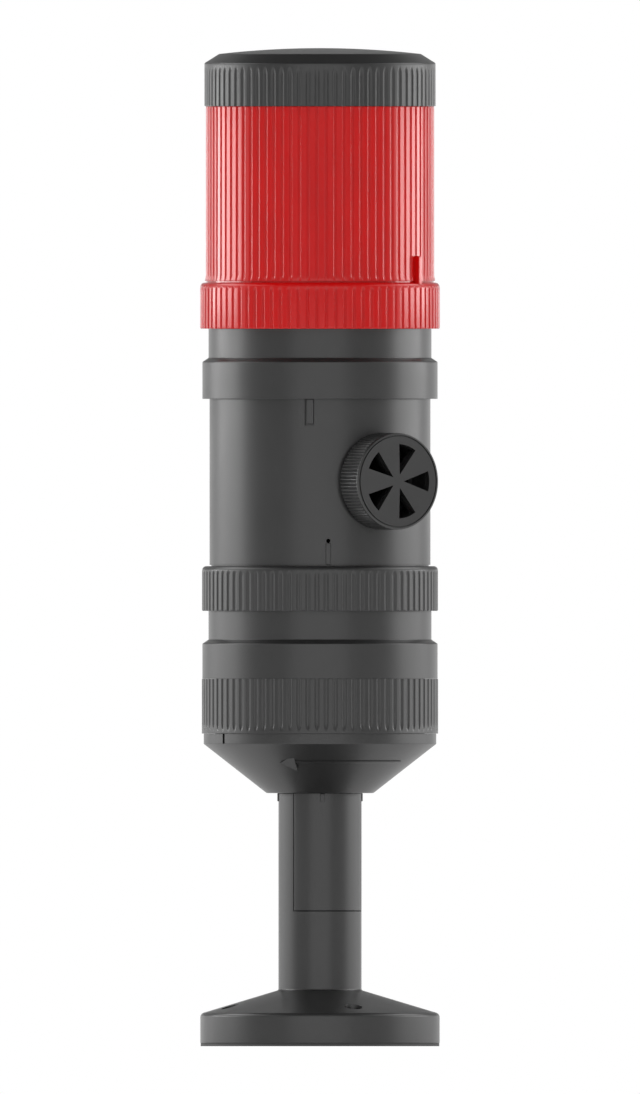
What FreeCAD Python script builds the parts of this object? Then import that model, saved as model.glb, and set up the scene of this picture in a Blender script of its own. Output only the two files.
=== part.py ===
import FreeCAD, Part
import Sketcher
import math
import os
import re

# A stack light (signal tower) of the 70 mm class: foot with tube, cone adapter with lock ring,
# terminal element, siren element with a volume knob, red light element and end cap.
# Millimetres, +Z up. The origin is the centre of the mounting face, on the tower's axis.
# The front of the tower faces -Y. Angles in the sizes count from the front, anticlockwise as
# seen from above, because the +X axis of every upright piece is turned to the front.

# Driving sizes: name, value, meaning
SIZES = [
    ("front_angle", -90, "direction of the tower's front, degrees from +X"),
    ("tower_radius", 35.0, "radius of the foot, which sets the class of the whole tower"),
    ("running_gap", 0.3, "clearance round pieces that turn"),
    ("seat_gap", 0.2, "height of the gap between pieces that turn on each other"),
    ("fit_gap", 0.1, "clearance round pieces that are fitted together"),
    ("board_thickness", 1.6, "thickness of every circuit board"),
    # Foot and tube
    ("gasket_thickness", 0.8, "thickness of the rubber gasket"),
    ("gasket_inset", 0.1, "gasket radius less than the foot's"),
    ("foot_rim_height", 8.7, "height of the foot's upright rim"),
    ("foot_cone_height", 6.9, "height of the foot's conical top"),
    ("foot_edge_round", 1.2, "rounding between rim and cone"),
    ("foot_wall", 2.6, "wall of the hollow foot"),
    ("foot_hub_radius", 15.5, "radius of the solid hub under the tube"),
    ("foot_land_angle", 42.0, "angle of the solid land round each screw hole"),
    ("foot_hole_count", 4, "number of screw holes"),
    ("foot_hole_inset", 7.0, "centre of a screw hole inside the foot's edge"),
    ("foot_hole_radius", 2.65, "radius of a screw hole, for M5"),
    ("foot_hole_turn", -0.95, "direction of the front screw hole, from base_angle"),
    ("base_angle", 21.2, "direction of the tube cover, from the tower's front"),
    ("tube_radius", 12.15, "outer radius of the tube"),
    ("tube_wall", 2.0, "wall of the tube"),
    ("tube_length", 57.6, "length of tube that shows"),
    ("tube_rib_angle", -17.8, "direction of the rib on the cover, from base_angle"),
    ("tube_rib_width", 1.2, "width of a rib at the tube's top"),
    ("tube_rib_height", 2.4, "height of a rib at the tube's top"),
    ("tube_rib_proud", 0.35, "how far a rib stands out"),
    ("cover_angle", 120.0, "angle of the cable window that the cover closes"),
    ("cover_length", 34.5, "height of the cable window"),
    ("cover_gap", 0.3, "gap round the cover"),
    ("liner_wall", 0.9, "thickness of the cover's inner lips"),
    ("liner_overlap_angle", 8.0, "angle of each lip behind the tube's wall"),
    # Adapter cone
    ("spigot_step", 0.75, "step from the tube to its spigot"),
    ("sleeve_wall", 2.0, "wall of the adapter's sleeve"),
    ("sleeve_height", 10.0, "height of the adapter's sleeve"),
    ("tube_seal_width", 1.5, "width of the seal on the tube's shoulder"),
    ("tube_seal_height", 1.2, "height of the seal on the tube's shoulder"),
    ("nut_height", 3.2, "height of the nut on the spigot"),
    ("nut_corner_radius", 16.0, "radius to the nut's corners"),
    ("thread_end", 0.8, "spigot above the nut"),
    ("adapter_bottom_radius", 15.6, "small radius of the cone"),
    ("adapter_inset", 1.0, "cone's band inside the tower's radius"),
    ("adapter_cone_height", 14.4, "height of the cone"),
    ("adapter_band_height", 3.0, "height of the upright band above the cone"),
    ("adapter_wall", 3.05, "height of the cone's wall, measured upright"),
    ("slot_angle", -56.0, "direction of the slot mark in the band"),
    ("slot_width", 0.5, "width of the slot mark"),
    ("slot_depth", 0.6, "depth of the slot mark"),
    ("arrow_level", 9.0, "height of the arrow above the cone's bottom"),
    ("arrow_proud", 0.35, "how far the arrow stands out"),
    ("arrow_shaft_width", 1.0, "width of the arrow's shaft along the cone"),
    ("arrow_shaft_start", 59.0, "direction of the shaft's tail"),
    ("arrow_shaft_end", -16.0, "direction of the shaft's end at the head"),
    ("arrow_head_length", 4.8, "length of the arrow's head"),
    ("arrow_head_width", 5.9, "width of the arrow's head along the cone"),
    # Lock ring
    ("lock_ring_inset", 0.45, "lock ring inside the tower's radius"),
    ("lock_ring_height", 15.7, "height of the lock ring"),
    ("lock_ring_wall", 1.95, "wall of the lock ring, knurl included"),
    ("lock_lip_height", 2.0, "height of the lip that turns on the adapter"),
    ("lock_band_height", 1.2, "plain band below the lock ring's knurl"),
    ("lock_neck_inset", 4.4, "necks inside the lock ring, inside the tower's radius"),
    ("lock_neck_wall", 2.2, "wall of the necks inside the lock ring"),
    ("lock_neck_height", 7.6, "height of the adapter's neck"),
    ("lock_seal_height", 0.9, "height of the seal on the adapter's neck"),
    ("bead_height", 1.8, "height of the beads that keep the lock ring"),
    ("bead_angle", 30.0, "length of each bead"),
    # Bayonets
    ("lug_count", 3, "lugs of every bayonet"),
    ("lug_angle", 24.0, "length of every lug"),
    ("lug_height", 2.1, "height of every lug"),
    ("lug_depth", 1.6, "depth of the lugs inside the necks"),
    ("lug_root", 0.5, "how far a lug reaches into its wall"),
    ("lug_rise", 2.6, "lower lugs above the bottom of the element"),
    ("lock_lug_rise", 0.4, "terminal lugs above the terminal's bottom"),
    # Necks and skirts, where one element plugs on the next
    ("collar_inset", 0.6, "plain rings inside the tower's radius"),
    ("collar_chamfer_height", 1.2, "height of the chamfer above a plain ring"),
    ("neck_inset", 2.4, "necks inside the tower's radius"),
    ("neck_wall", 2.7, "wall of the necks"),
    ("neck_insert", 8.7, "length of neck inside the element above"),
    ("base_floor", 2.0, "floor of an element"),
    ("spigot_wall", 2.0, "wall of the bayonet spigot"),
    ("spigot_clear", 1.0, "spigot's end above the bottom of its element"),
    ("plate_rise", 1.5, "contact plate above the bottom of its element"),
    ("contact_gap", 0.1, "sprung contacts drawn short of their plate"),
    ("neck_seal_rise", 3.0, "neck seal above the bottom of the element"),
    ("neck_seal_height", 2.0, "height of a neck seal"),
    ("neck_seal_depth", 1.2, "depth of a neck seal's groove"),
    ("wire_hole_radius", 9.5, "hole for the contacts in every deck"),
    ("deck_thickness", 2.5, "thickness of the decks under the necks"),
    ("contact_count", 5, "number of circuits"),
    ("contact_pitch", 2.4, "spacing of the contacts"),
    ("contact_width", 1.4, "width of a contact"),
    ("contact_depth", 1.0, "thickness of a contact"),
    ("carrier_flange_width", 2.5, "flange of a contact carrier"),
    ("carrier_flange_height", 1.5, "height of a contact carrier's flange"),
    # Terminal element
    ("terminal_ring_height", 10.2, "plain ring of the terminal housing"),
    ("terminal_neck_show", 8.4, "neck that shows above the terminal's chamfer"),
    ("terminal_deck_rise", 2.5, "deck above the terminal ring's bottom"),
    ("terminal_board_gap", 0.6, "gap round the terminal board"),
    ("block_margin", 2.6, "corner of a terminal block to the neck round it"),
    ("block_width", 9.0, "width of a terminal block"),
    ("block_height", 11.0, "height of a terminal block"),
    ("block_offset", 9.5, "inner face of a block from the axis"),
    ("block_ways", 5, "screws in a terminal block"),
    ("block_end", 4.0, "last screw of a block from the block's end"),
    ("screw_radius", 1.9, "radius of a terminal screw"),
    ("screw_length", 4.0, "length of a terminal screw"),
    ("screw_recess", 0.8, "screw head below the block's face"),
    ("wire_entry_radius", 1.6, "radius of a wire entry"),
    # Siren element
    ("skirt_inset", 0.5, "siren's knurled skirt inside the tower's radius"),
    ("skirt_height", 13.1, "height of the siren's knurled skirt"),
    ("skirt_round", 1.2, "rounding of the skirt's top edge"),
    ("skirt_band_height", 1.6, "plain band above the skirt's knurl"),
    ("siren_body_inset", 2.7, "siren's body inside the tower's radius"),
    ("siren_body_height", 48.9, "height of the siren's body"),
    ("siren_wall", 2.2, "wall of the siren's body"),
    ("siren_groove_depth", 0.7, "depth of the shadow groove at the body's foot"),
    ("siren_groove_height", 0.7, "height of the shadow groove at the body's foot"),
    ("siren_rim_height", 6.0, "rim that centres the siren's body"),
    ("siren_rim_wall", 2.0, "wall of that rim"),
    ("siren_ring_height", 10.8, "plain ring above the siren"),
    ("siren_neck_show", 8.5, "neck that shows above the siren's chamfer"),
    ("siren_deck_rise", 6.7, "deck above the siren body's top"),
    ("siren_collar_rim", 5.0, "collar's rim inside the body"),
    ("tab_angle", -5.5, "direction of the mark at the body's top"),
    ("tab_width", 2.3, "width of that mark"),
    ("tab_height", 7.2, "height of that mark"),
    ("mark_proud", 0.6, "how far both marks stand out"),
    ("pointer_angle", 4.3, "direction of the mark at the body's bottom"),
    ("pointer_width", 1.2, "width of that mark"),
    ("pointer_height", 6.6, "height of that mark"),
    # Sound outlet and knob
    ("outlet_angle", 33.2, "direction of the sound outlet"),
    ("outlet_rise", 24.8, "outlet's axis above the body's bottom"),
    ("outlet_boss_radius", 12.6, "radius of the boss that the knob turns on"),
    ("outlet_boss_wall", 1.6, "wall of the boss"),
    ("knob_radius", 14.15, "outer radius of the volume knob"),
    ("knob_depth", 9.1, "depth of the knob along its axis"),
    ("knob_round", 1.2, "rounding of the knob's edge"),
    ("knob_disc", 1.7, "thickness of the knob's face"),
    ("knob_knurl_count", 84, "grooves round the knob"),
    ("knob_knurl_depth", 0.3, "depth of the knob's grooves"),
    ("knob_knurl_mouth", 0.7, "width of the knob's grooves"),
    ("knob_knurl_root", 0.2, "width of the bottom of the knob's grooves"),
    ("knob_smooth", 1.3, "smooth rim in front of the knob's grooves"),
    ("knob_line_radius", 13.2, "inner radius of the line round the face"),
    ("knob_line_width", 0.35, "width of that line"),
    ("knob_line_depth", 0.3, "depth of that line"),
    ("opening_count", 5, "number of wedge openings"),
    ("opening_apex", 2.3, "inner end of a wedge opening"),
    ("opening_radius", 10.9, "outer end of a wedge opening"),
    ("opening_half_angle", 14.9, "half the angle of a wedge opening at its outer end"),
    ("baffle_thickness", 1.8, "thickness of the fixed disc behind the knob"),
    ("stem_radius", 1.3, "radius of the knob's stem"),
    ("stem_gap", 0.08, "running clearance round the stem"),
    ("stem_end", 0.6, "stem behind its clip"),
    ("clip_radius", 2.2, "radius of the knob's clip"),
    ("clip_thickness", 0.8, "thickness of the knob's clip"),
    ("siren_board_setback", 4.4, "front face of the siren board behind the axis"),
    ("siren_board_margin", 4.3, "edge of the siren board to the rim round it"),
    ("siren_board_room", 9.7, "room above the siren board"),
    ("sounder_radius", 12.5, "radius of the sounder"),
    ("sounder_length", 12.4, "length of the sounder"),
    ("sounder_mouth_radius", 5.0, "mouth of the sounder"),
    ("sounder_mouth_depth", 4.0, "depth of the sounder's mouth"),
    ("duct_wall", 1.3, "wall of the sound duct"),
    ("duct_insert", 3.0, "duct inside the boss, in front of the body's bore"),
    ("duct_flange", 1.5, "thickness of the duct's flange"),
    # Light element
    ("lens_skirt_proud", 0.05, "lens skirt outside the tower's radius"),
    ("lens_skirt_height", 13.7, "height of the lens skirt with its shoulder"),
    ("lens_shoulder_round", 1.5, "rounding of the shoulder"),
    ("lens_inset", 1.6, "lens inside the tower's radius"),
    ("lens_height", 51.4, "height of the lens above its skirt"),
    ("lens_wall", 2.4, "wall of the lens, ribs included"),
    ("lens_knurl_band", 2.2, "plain shoulder above the skirt's grooves"),
    ("lens_foot_band", 0.8, "plain foot below the lens grooves"),
    ("bar_angle", 57.2, "direction of the mark on the lens"),
    ("bar_width", 1.5, "width of that mark"),
    ("bar_height", 7.6, "height of that mark"),
    ("bar_root", 1.5, "how far the mark reaches into the lens"),
    ("column_width", 18.0, "width of the square column of the lamps"),
    ("column_height", 42.0, "height of that column"),
    ("column_wall", 2.0, "wall of that column"),
    ("column_flange_radius", 14.0, "flange at the column's foot"),
    ("column_flange_height", 2.0, "thickness of that flange"),
    ("led_board_width", 14.0, "width of a lamp board"),
    ("led_board_height", 38.0, "height of a lamp board"),
    ("led_rows", 3, "lamps on a board"),
    ("led_row_pitch", 11.0, "spacing of the lamps on a board"),
    ("led_size", 5.0, "side of a lamp"),
    ("led_height", 1.6, "thickness of a lamp"),
    # Cap
    ("cap_neck_inset", 3.5, "neck under the cap inside the tower's radius"),
    ("cap_neck_foot", 7.0, "collar inside the lens"),
    ("cap_inset", 1.2, "cap inside the tower's radius"),
    ("cap_side_height", 12.6, "height of the cap's side"),
    ("cap_band_height", 0.9, "plain band above the cap's knurl"),
    ("cap_chamfer_width", 4.3, "width of the cap's chamfer"),
    ("cap_chamfer_height", 2.7, "height of the cap's chamfer"),
    ("cap_dome_height", 1.7, "height of the dome"),
    ("cap_ceiling_gap", 0.7, "room above the neck"),
    # Knurls of the rings, the lens and the cap
    ("knurl_count", 80, "grooves round each ribbed ring"),
    ("knurl_phase", 3.05, "direction of the first groove"),
    ("knurl_depth", 0.5, "depth of a groove"),
    ("knurl_mouth", 1.6, "width of a groove at the surface"),
    ("knurl_root", 0.6, "width of a groove's bottom"),
    ("lens_groove_depth", 0.4, "depth of a groove in the lens"),
]

# Heights and radii that follow from the driving sizes
DERIVED = [
    ("foot_radius", "tower_radius"),
    ("foot_hole_circle", "foot_radius - foot_hole_inset"),
    ("adapter_radius", "tower_radius - adapter_inset"),
    ("lock_ring_radius", "tower_radius - lock_ring_inset"),
    ("lock_neck_radius", "tower_radius - lock_neck_inset"),
    ("collar_radius", "tower_radius - collar_inset"),
    ("neck_radius", "tower_radius - neck_inset"),
    ("skirt_radius", "tower_radius - skirt_inset"),
    ("siren_body_radius", "tower_radius - siren_body_inset"),
    ("lens_skirt_radius", "tower_radius + lens_skirt_proud"),
    ("lens_radius", "tower_radius - lens_inset"),
    ("cap_neck_radius", "tower_radius - cap_neck_inset"),
    ("cap_radius", "tower_radius - cap_inset"),
    ("cap_rim_radius", "cap_radius - cap_chamfer_width"),
    ("foot_bottom", "gasket_thickness"),
    ("foot_rim_top", "foot_bottom + foot_rim_height"),
    ("tube_bottom", "foot_rim_top + foot_cone_height"),
    ("tube_top", "tube_bottom + tube_length"),
    ("cover_bottom", "tube_top - cover_length"),
    ("foot_slope", "foot_cone_height / (foot_radius - tube_radius)"),
    ("foot_ceiling_hub", "tube_bottom - (foot_hub_radius - tube_radius) * foot_slope - foot_wall"),
    ("foot_inner_radius", "foot_radius - foot_wall"),
    ("foot_ceiling_rim", "tube_bottom - (foot_inner_radius - tube_radius) * foot_slope - foot_wall"),
    ("tube_bore", "tube_radius - tube_wall"),
    ("spigot_radius", "tube_radius - spigot_step"),
    ("liner_radius", "tube_bore - fit_gap"),
    ("liner_bore", "liner_radius - liner_wall"),
    # Adapter
    ("sleeve_bore", "spigot_radius + fit_gap"),
    ("sleeve_radius", "sleeve_bore + sleeve_wall"),
    ("seal_recess_radius", "sleeve_bore + tube_seal_width"),
    ("tube_seal_top", "tube_top + tube_seal_height"),
    ("sleeve_top", "tube_top + sleeve_height"),
    ("nut_top", "sleeve_top + nut_height"),
    ("spigot_top", "nut_top + thread_end"),
    ("adapter_cone_top", "tube_top + adapter_cone_height"),
    ("adapter_top", "adapter_cone_top + adapter_band_height"),
    ("adapter_slope", "adapter_cone_height / (adapter_radius - adapter_bottom_radius)"),
    ("lock_neck_bore", "lock_neck_radius - lock_neck_wall"),
    ("adapter_floor_hub", "tube_top + adapter_wall + (sleeve_radius - adapter_bottom_radius) * adapter_slope"),
    ("adapter_floor_rim", "tube_top + adapter_wall + (lock_neck_bore - adapter_bottom_radius) * adapter_slope"),
    ("arrow_height", "tube_top + arrow_level"),
    ("arrow_radius", "adapter_bottom_radius + arrow_level / adapter_slope"),
    # Lock ring
    ("lock_neck_top", "adapter_top + lock_neck_height"),
    ("lock_bottom", "adapter_top + seat_gap"),
    ("lock_top", "lock_bottom + lock_ring_height"),
    ("lock_lip_top", "lock_bottom + lock_lip_height"),
    ("lock_lip_bore", "lock_neck_radius + running_gap"),
    ("lock_ring_bore", "lock_ring_radius - lock_ring_wall"),
    ("lock_lug_radius", "lock_ring_bore - running_gap"),
    ("bead_bottom", "lock_lip_top + seat_gap"),
    ("terminal_bottom", "lock_neck_top + lock_seal_height"),
    ("terminal_lug_bottom", "terminal_bottom + lock_lug_rise"),
    ("terminal_lug_top", "terminal_lug_bottom + lug_height"),
    ("lock_lug_bottom", "terminal_lug_top + seat_gap"),
    # Necks and skirts
    ("neck_bore", "neck_radius - neck_wall"),
    ("neck_lug_bore", "neck_bore - lug_depth"),
    ("skirt_bore", "neck_radius + running_gap"),
    ("bayonet_radius", "neck_bore - running_gap"),
    ("bayonet_spigot_radius", "neck_lug_bore - running_gap"),
    ("bayonet_spigot_bore", "bayonet_spigot_radius - spigot_wall"),
    ("plate_radius", "bayonet_spigot_bore - fit_gap"),
    ("neck_seal_radius", "neck_radius - neck_seal_depth"),
    ("carrier_radius", "wire_hole_radius - fit_gap"),
    ("carrier_flange_radius", "carrier_radius + carrier_flange_width"),
    # Terminal element
    ("terminal_ring_bottom", "lock_top + seat_gap"),
    ("terminal_ring_top", "terminal_ring_bottom + terminal_ring_height"),
    ("terminal_neck_bottom", "terminal_ring_top + collar_chamfer_height"),
    ("terminal_deck_bottom", "terminal_ring_bottom + terminal_deck_rise"),
    ("terminal_deck_top", "terminal_deck_bottom + deck_thickness"),
    ("terminal_board_top", "terminal_deck_top + board_thickness"),
    ("block_bottom", "terminal_deck_bottom - block_height"),
    ("block_screw_offset", "block_offset + block_width / 2"),
    ("block_corner_radius", "lock_neck_bore - block_margin"),
    ("block_length", "2 * sqrt(block_corner_radius ^ 2 - (block_offset + block_width) ^ 2)"),
    ("block_pitch", "(block_length - 2 * block_end) / (block_ways - 1)"),
    # Siren element
    ("siren_bottom", "terminal_neck_bottom + terminal_neck_show"),
    ("siren_floor_bottom", "siren_bottom + neck_insert + running_gap"),
    ("siren_floor_top", "siren_floor_bottom + base_floor"),
    ("siren_plate_bottom", "siren_bottom + plate_rise"),
    ("siren_plate_top", "siren_plate_bottom + board_thickness"),
    ("siren_body_bottom", "siren_bottom + skirt_height"),
    ("siren_body_top", "siren_body_bottom + siren_body_height"),
    ("siren_bore", "siren_body_radius - siren_wall"),
    ("siren_rim_radius", "siren_bore - fit_gap"),
    ("siren_rim_bore", "siren_rim_radius - siren_rim_wall"),
    ("siren_rim_top", "siren_body_bottom + siren_rim_height"),
    ("siren_ring_top", "siren_body_top + siren_ring_height"),
    ("siren_neck_bottom", "siren_ring_top + collar_chamfer_height"),
    ("siren_deck_bottom", "siren_body_top + siren_deck_rise"),
    ("siren_deck_top", "siren_deck_bottom + deck_thickness"),
    ("siren_collar_foot", "siren_body_top - siren_collar_rim"),
    ("siren_board_back", "-siren_board_setback - board_thickness"),
    ("siren_board_width", "2 * (sqrt(siren_rim_bore ^ 2 - siren_board_back ^ 2) - siren_board_margin)"),
    ("siren_board_height", "siren_deck_bottom - siren_board_room - siren_floor_top"),
    # Sound outlet, measured from the tower's axis along the outlet's axis
    ("outlet_height", "siren_body_bottom + outlet_rise"),
    ("outlet_bore", "outlet_boss_radius - outlet_boss_wall"),
    ("knob_back", "siren_body_radius + running_gap"),
    ("knob_face", "knob_back + knob_depth"),
    ("knob_bore", "outlet_boss_radius + running_gap"),
    ("knob_disc_back", "knob_face - knob_disc"),
    ("baffle_front", "knob_disc_back - running_gap"),
    ("baffle_back", "baffle_front - baffle_thickness"),
    ("baffle_bore", "stem_radius + stem_gap"),
    ("clip_front", "baffle_back - seat_gap"),
    ("clip_back", "clip_front - clip_thickness"),
    ("stem_back", "clip_back - stem_end"),
    ("sounder_back", "-siren_board_setback"),
    ("sounder_front", "sounder_back + sounder_length"),
    ("duct_radius", "outlet_bore - fit_gap - fit_gap"),
    ("duct_bore", "duct_radius - duct_wall"),
    ("duct_end", "siren_bore + duct_insert - running_gap"),
    # Light element
    ("light_bottom", "siren_neck_bottom + siren_neck_show"),
    ("light_floor_bottom", "light_bottom + neck_insert + running_gap"),
    ("light_floor_top", "light_floor_bottom + base_floor"),
    ("light_floor_radius", "skirt_bore - fit_gap"),
    ("light_plate_bottom", "light_bottom + plate_rise"),
    ("light_plate_top", "light_plate_bottom + board_thickness"),
    ("lens_body_bottom", "light_bottom + lens_skirt_height"),
    ("lens_top", "lens_body_bottom + lens_height"),
    ("lens_bore", "lens_radius - lens_wall"),
    ("column_foot", "light_floor_top + column_flange_height"),
    ("led_board_back", "column_width / 2"),
    ("led_back", "led_board_back + board_thickness"),
    # Cap
    ("collar_plug_radius", "lens_bore - fit_gap"),
    ("cap_neck_bore", "cap_neck_radius - neck_wall"),
    ("cap_neck_lug_bore", "cap_neck_bore - lug_depth"),
    ("cap_neck_top", "lens_top + neck_insert"),
    ("cap_bore", "cap_neck_radius + running_gap"),
    ("cap_bottom", "lens_top + seat_gap"),
    ("cap_side_top", "lens_top + cap_side_height"),
    ("cap_chamfer_top", "cap_side_top + cap_chamfer_height"),
    ("cap_top", "cap_chamfer_top + cap_dome_height"),
    ("cap_ceiling", "cap_neck_top + cap_ceiling_gap"),
    ("cap_lug_radius", "cap_neck_bore - running_gap"),
    ("cap_spigot_radius", "cap_neck_lug_bore - running_gap"),
    ("cap_spigot_bore", "cap_spigot_radius - spigot_wall"),
    ("cap_seal_radius", "cap_neck_radius - neck_seal_depth"),
    ("cap_dome_shoulder", "cap_rim_radius / 2"),
    ("cap_dome_round", "0.98 * cap_dome_shoulder / tan(atan(cap_dome_height / cap_dome_shoulder) / 2)"),
]

doc = FreeCAD.newDocument("stack_light")
sheet_of = {}
pieces = []


def bound(text):
    """Put the sheet's name in front of every size in an expression."""
    return re.sub(r"[a-z]\w*", lambda word: sheet_of.get(word.group(), word.group()), text)


def number(text):
    """The present value of an expression."""
    result = doc.getObject("sizes").evalExpression(bound(text))
    return float(getattr(result, "Value", result))


def bind(target, path, text):
    """Bind a property of a feature, or a constraint of a sketch, to an expression."""
    target.setExpression(path, bound(text))


def fill_sheets():
    """Write the driving sizes as plain numbers and the derived ones as formulas."""
    sizes = doc.addObject("Spreadsheet::Sheet", "sizes")
    for row, (alias, value, meaning) in enumerate(SIZES, start=1):
        sizes.set(f"A{row}", alias)
        sizes.set(f"B{row}", str(value))
        sizes.set(f"C{row}", meaning)
        sizes.setAlias(f"B{row}", alias)
        sheet_of[alias] = f"sizes.{alias}"
    doc.recompute()
    derived = doc.addObject("Spreadsheet::Sheet", "derived")
    for row, (alias, formula) in enumerate(DERIVED, start=1):
        derived.set(f"A{row}", alias)
        derived.set(f"B{row}", "=" + bound(formula).replace("derived.", ""))
        derived.setAlias(f"B{row}", alias)
        sheet_of[alias] = f"derived.{alias}"
    doc.recompute()


# Sketches

def origin_feature(body, role):
    """One of the body's own origin planes or axes."""
    return next(feature for feature in body.Origin.OriginFeatures if feature.Role == role)


def new_sketch(body, name, plane, level=None, turn=None):
    """A sketch on an origin plane, raised to a level or turned about the body's upright axis."""
    sketch = body.newObject("Sketcher::SketchObject", name)
    sketch.AttachmentSupport = [(origin_feature(body, plane), "")]
    sketch.MapMode = "FlatFace"
    upright = FreeCAD.Vector(0, 0, 1) if plane == "XY_Plane" else FreeCAD.Vector(0, 1, 0)
    sketch.AttachmentOffset = FreeCAD.Placement(FreeCAD.Vector(), FreeCAD.Rotation(upright, 1))
    bind(sketch, "AttachmentOffset.Rotation.Angle", turn or "0")
    if level:
        bind(sketch, "AttachmentOffset.Base.z", level)
    return sketch


def bind_point(sketch, geometry, point, x_text, y_text):
    """Hold a sketch point at two bound distances from the origin."""
    for kind, text in (("DistanceX", x_text), ("DistanceY", y_text)):
        constraint = Sketcher.Constraint(kind, -1, 1, geometry, point, number(text))
        index = sketch.addConstraint(constraint)
        bind(sketch, f"Constraints[{index}]", text)


def round_corner(sketch, line_in, line_out, corner, arrive, leave, centre):
    """Join two lines by a tangent arc, whose corner point stays bound."""
    radius = number(corner[2])
    middle = centre + ((arrive + leave) / 2 - centre).normalize() * radius
    arc = sketch.addGeometry(Part.Arc(arrive, middle, leave), False)
    starts_at_arrival = sketch.getPoint(arc, 1).distanceToPoint(arrive) < radius * 1e-3
    arc_in, arc_out = (1, 2) if starts_at_arrival else (2, 1)
    sketch.addConstraint(Sketcher.Constraint("Tangent", line_in, 2, arc, arc_in))
    sketch.addConstraint(Sketcher.Constraint("Tangent", arc, arc_out, line_out, 1))
    index = sketch.addConstraint(Sketcher.Constraint("Radius", arc, radius))
    bind(sketch, f"Constraints[{index}]", corner[2])
    spot = FreeCAD.Vector(number(corner[0]), number(corner[1]), 0)
    point = sketch.addGeometry(Part.Point(spot), True)
    bind_point(sketch, point, 1, corner[0], corner[1])
    sketch.addConstraint(Sketcher.Constraint("PointOnObject", point, 1, line_in))
    sketch.addConstraint(Sketcher.Constraint("PointOnObject", point, 1, line_out))


def outline(sketch, corners):
    """Draw a closed outline. A corner is two expressions, and a third one rounds it."""
    count = len(corners)
    spots = [FreeCAD.Vector(number(corner[0]), number(corner[1]), 0) for corner in corners]
    arrivals = list(spots)
    departures = list(spots)
    centres = [None] * count
    for index, corner in enumerate(corners):
        if len(corner) == 3:
            here = spots[index]
            back = (spots[index - 1] - here).normalize()
            ahead = (spots[(index + 1) % count] - here).normalize()
            half = back.getAngle(ahead) / 2
            reach = number(corner[2]) / math.tan(half)
            arrivals[index] = here + back * reach
            departures[index] = here + ahead * reach
            centres[index] = here + (back + ahead).normalize() * (number(corner[2]) / math.sin(half))
    lines = []
    for index in range(count):
        segment = Part.LineSegment(departures[index], arrivals[(index + 1) % count])
        lines.append(sketch.addGeometry(segment, False))
    for index, corner in enumerate(corners):
        line_in = lines[index - 1]
        line_out = lines[index]
        if len(corner) == 3:
            round_corner(sketch, line_in, line_out, corner, arrivals[index], departures[index], centres[index])
        else:
            sketch.addConstraint(Sketcher.Constraint("Coincident", line_in, 2, line_out, 1))
            bind_point(sketch, line_out, 1, corner[0], corner[1])


def circle(sketch, x_text, y_text, radius_text):
    """Draw a circle with a bound centre and radius."""
    centre = FreeCAD.Vector(number(x_text), number(y_text), 0)
    ring = Part.Circle(centre, FreeCAD.Vector(0, 0, 1), number(radius_text))
    geometry = sketch.addGeometry(ring, False)
    index = sketch.addConstraint(Sketcher.Constraint("Radius", geometry, number(radius_text)))
    bind(sketch, f"Constraints[{index}]", radius_text)
    bind_point(sketch, geometry, 3, x_text, y_text)


def rectangle(sketch, x_low, x_high, y_low, y_high):
    """Draw an upright rectangle."""
    outline(sketch, [(x_low, y_low), (x_high, y_low), (x_high, y_high), (x_low, y_high)])


# Features

def new_body(label, turn="front_angle"):
    """A body whose +X axis points to the tower's front, or to another direction."""
    body = doc.addObject("PartDesign::Body", label)
    body.Label = label
    bind(body, "Placement", f"placement(vector(0; 0; 0); rotation({turn}; 0; 0))")
    pieces.append(body)
    return body


def outlet_body(label):
    """A body whose +Z axis is the outlet's axis, with +Y up."""
    body = doc.addObject("PartDesign::Body", label)
    body.Label = label
    turn = "front_angle + 90 + outlet_angle"
    bind(body, "Placement", f"placement(vector(0; 0; outlet_height); rotation({turn}; 0; 90))")
    pieces.append(body)
    return body


def revolve(body, name, corners, angle=None, turn=None, cut=False):
    """Turn an outline of radius and height about the body's axis, fully or over an angle."""
    sketch = new_sketch(body, f"{name}_sketch", "XZ_Plane", turn=turn)
    outline(sketch, corners)
    kind = "PartDesign::Groove" if cut else "PartDesign::Revolution"
    feature = body.newObject(kind, name)
    feature.Profile = sketch
    feature.ReferenceAxis = (sketch, ["V_Axis"])
    if angle:
        feature.Midplane = True
        bind(feature, "Angle", angle)
    else:
        feature.Angle = 360
    body.Tip = feature
    return feature


def raise_from(body, name, sketch, length, cut=False):
    """Pad or pocket a sketch along its own normal."""
    kind = "PartDesign::Pocket" if cut else "PartDesign::Pad"
    feature = body.newObject(kind, name)
    feature.Profile = sketch
    feature.Reversed = cut
    bind(feature, "Length", length)
    body.Tip = feature
    return feature


def repeat(body, name, feature, count, span=None, turn_count=None):
    """Repeat a feature round the body's axis."""
    pattern = body.newObject("PartDesign::PolarPattern", name)
    pattern.Originals = [feature]
    pattern.Axis = (origin_feature(body, "Z_Axis"), [""])
    pattern.Angle = span or 360
    if turn_count:
        pattern.Occurrences = turn_count
    else:
        bind(pattern, "Occurrences", count)
    body.Tip = pattern
    return pattern


def knurl(body, name, radius, low, high, depth="knurl_depth"):
    """Cut the grooves of a ribbed ring."""
    sketch = new_sketch(body, f"{name}_sketch", "XY_Plane", low, "knurl_phase")
    half_root = "knurl_root / 2"
    half_outside = "(knurl_mouth - knurl_root / 2)"
    inside = f"{radius} - {depth}"
    outside = f"{radius} + {depth}"
    outline(sketch, [
        (inside, f"-{half_root}"),
        (outside, f"-{half_outside}"),
        (outside, half_outside),
        (inside, half_root),
    ])
    groove = raise_from(body, name, sketch, f"{high} - ({low})", cut=True)
    repeat(body, f"{name}_pattern", groove, "knurl_count")


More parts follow.
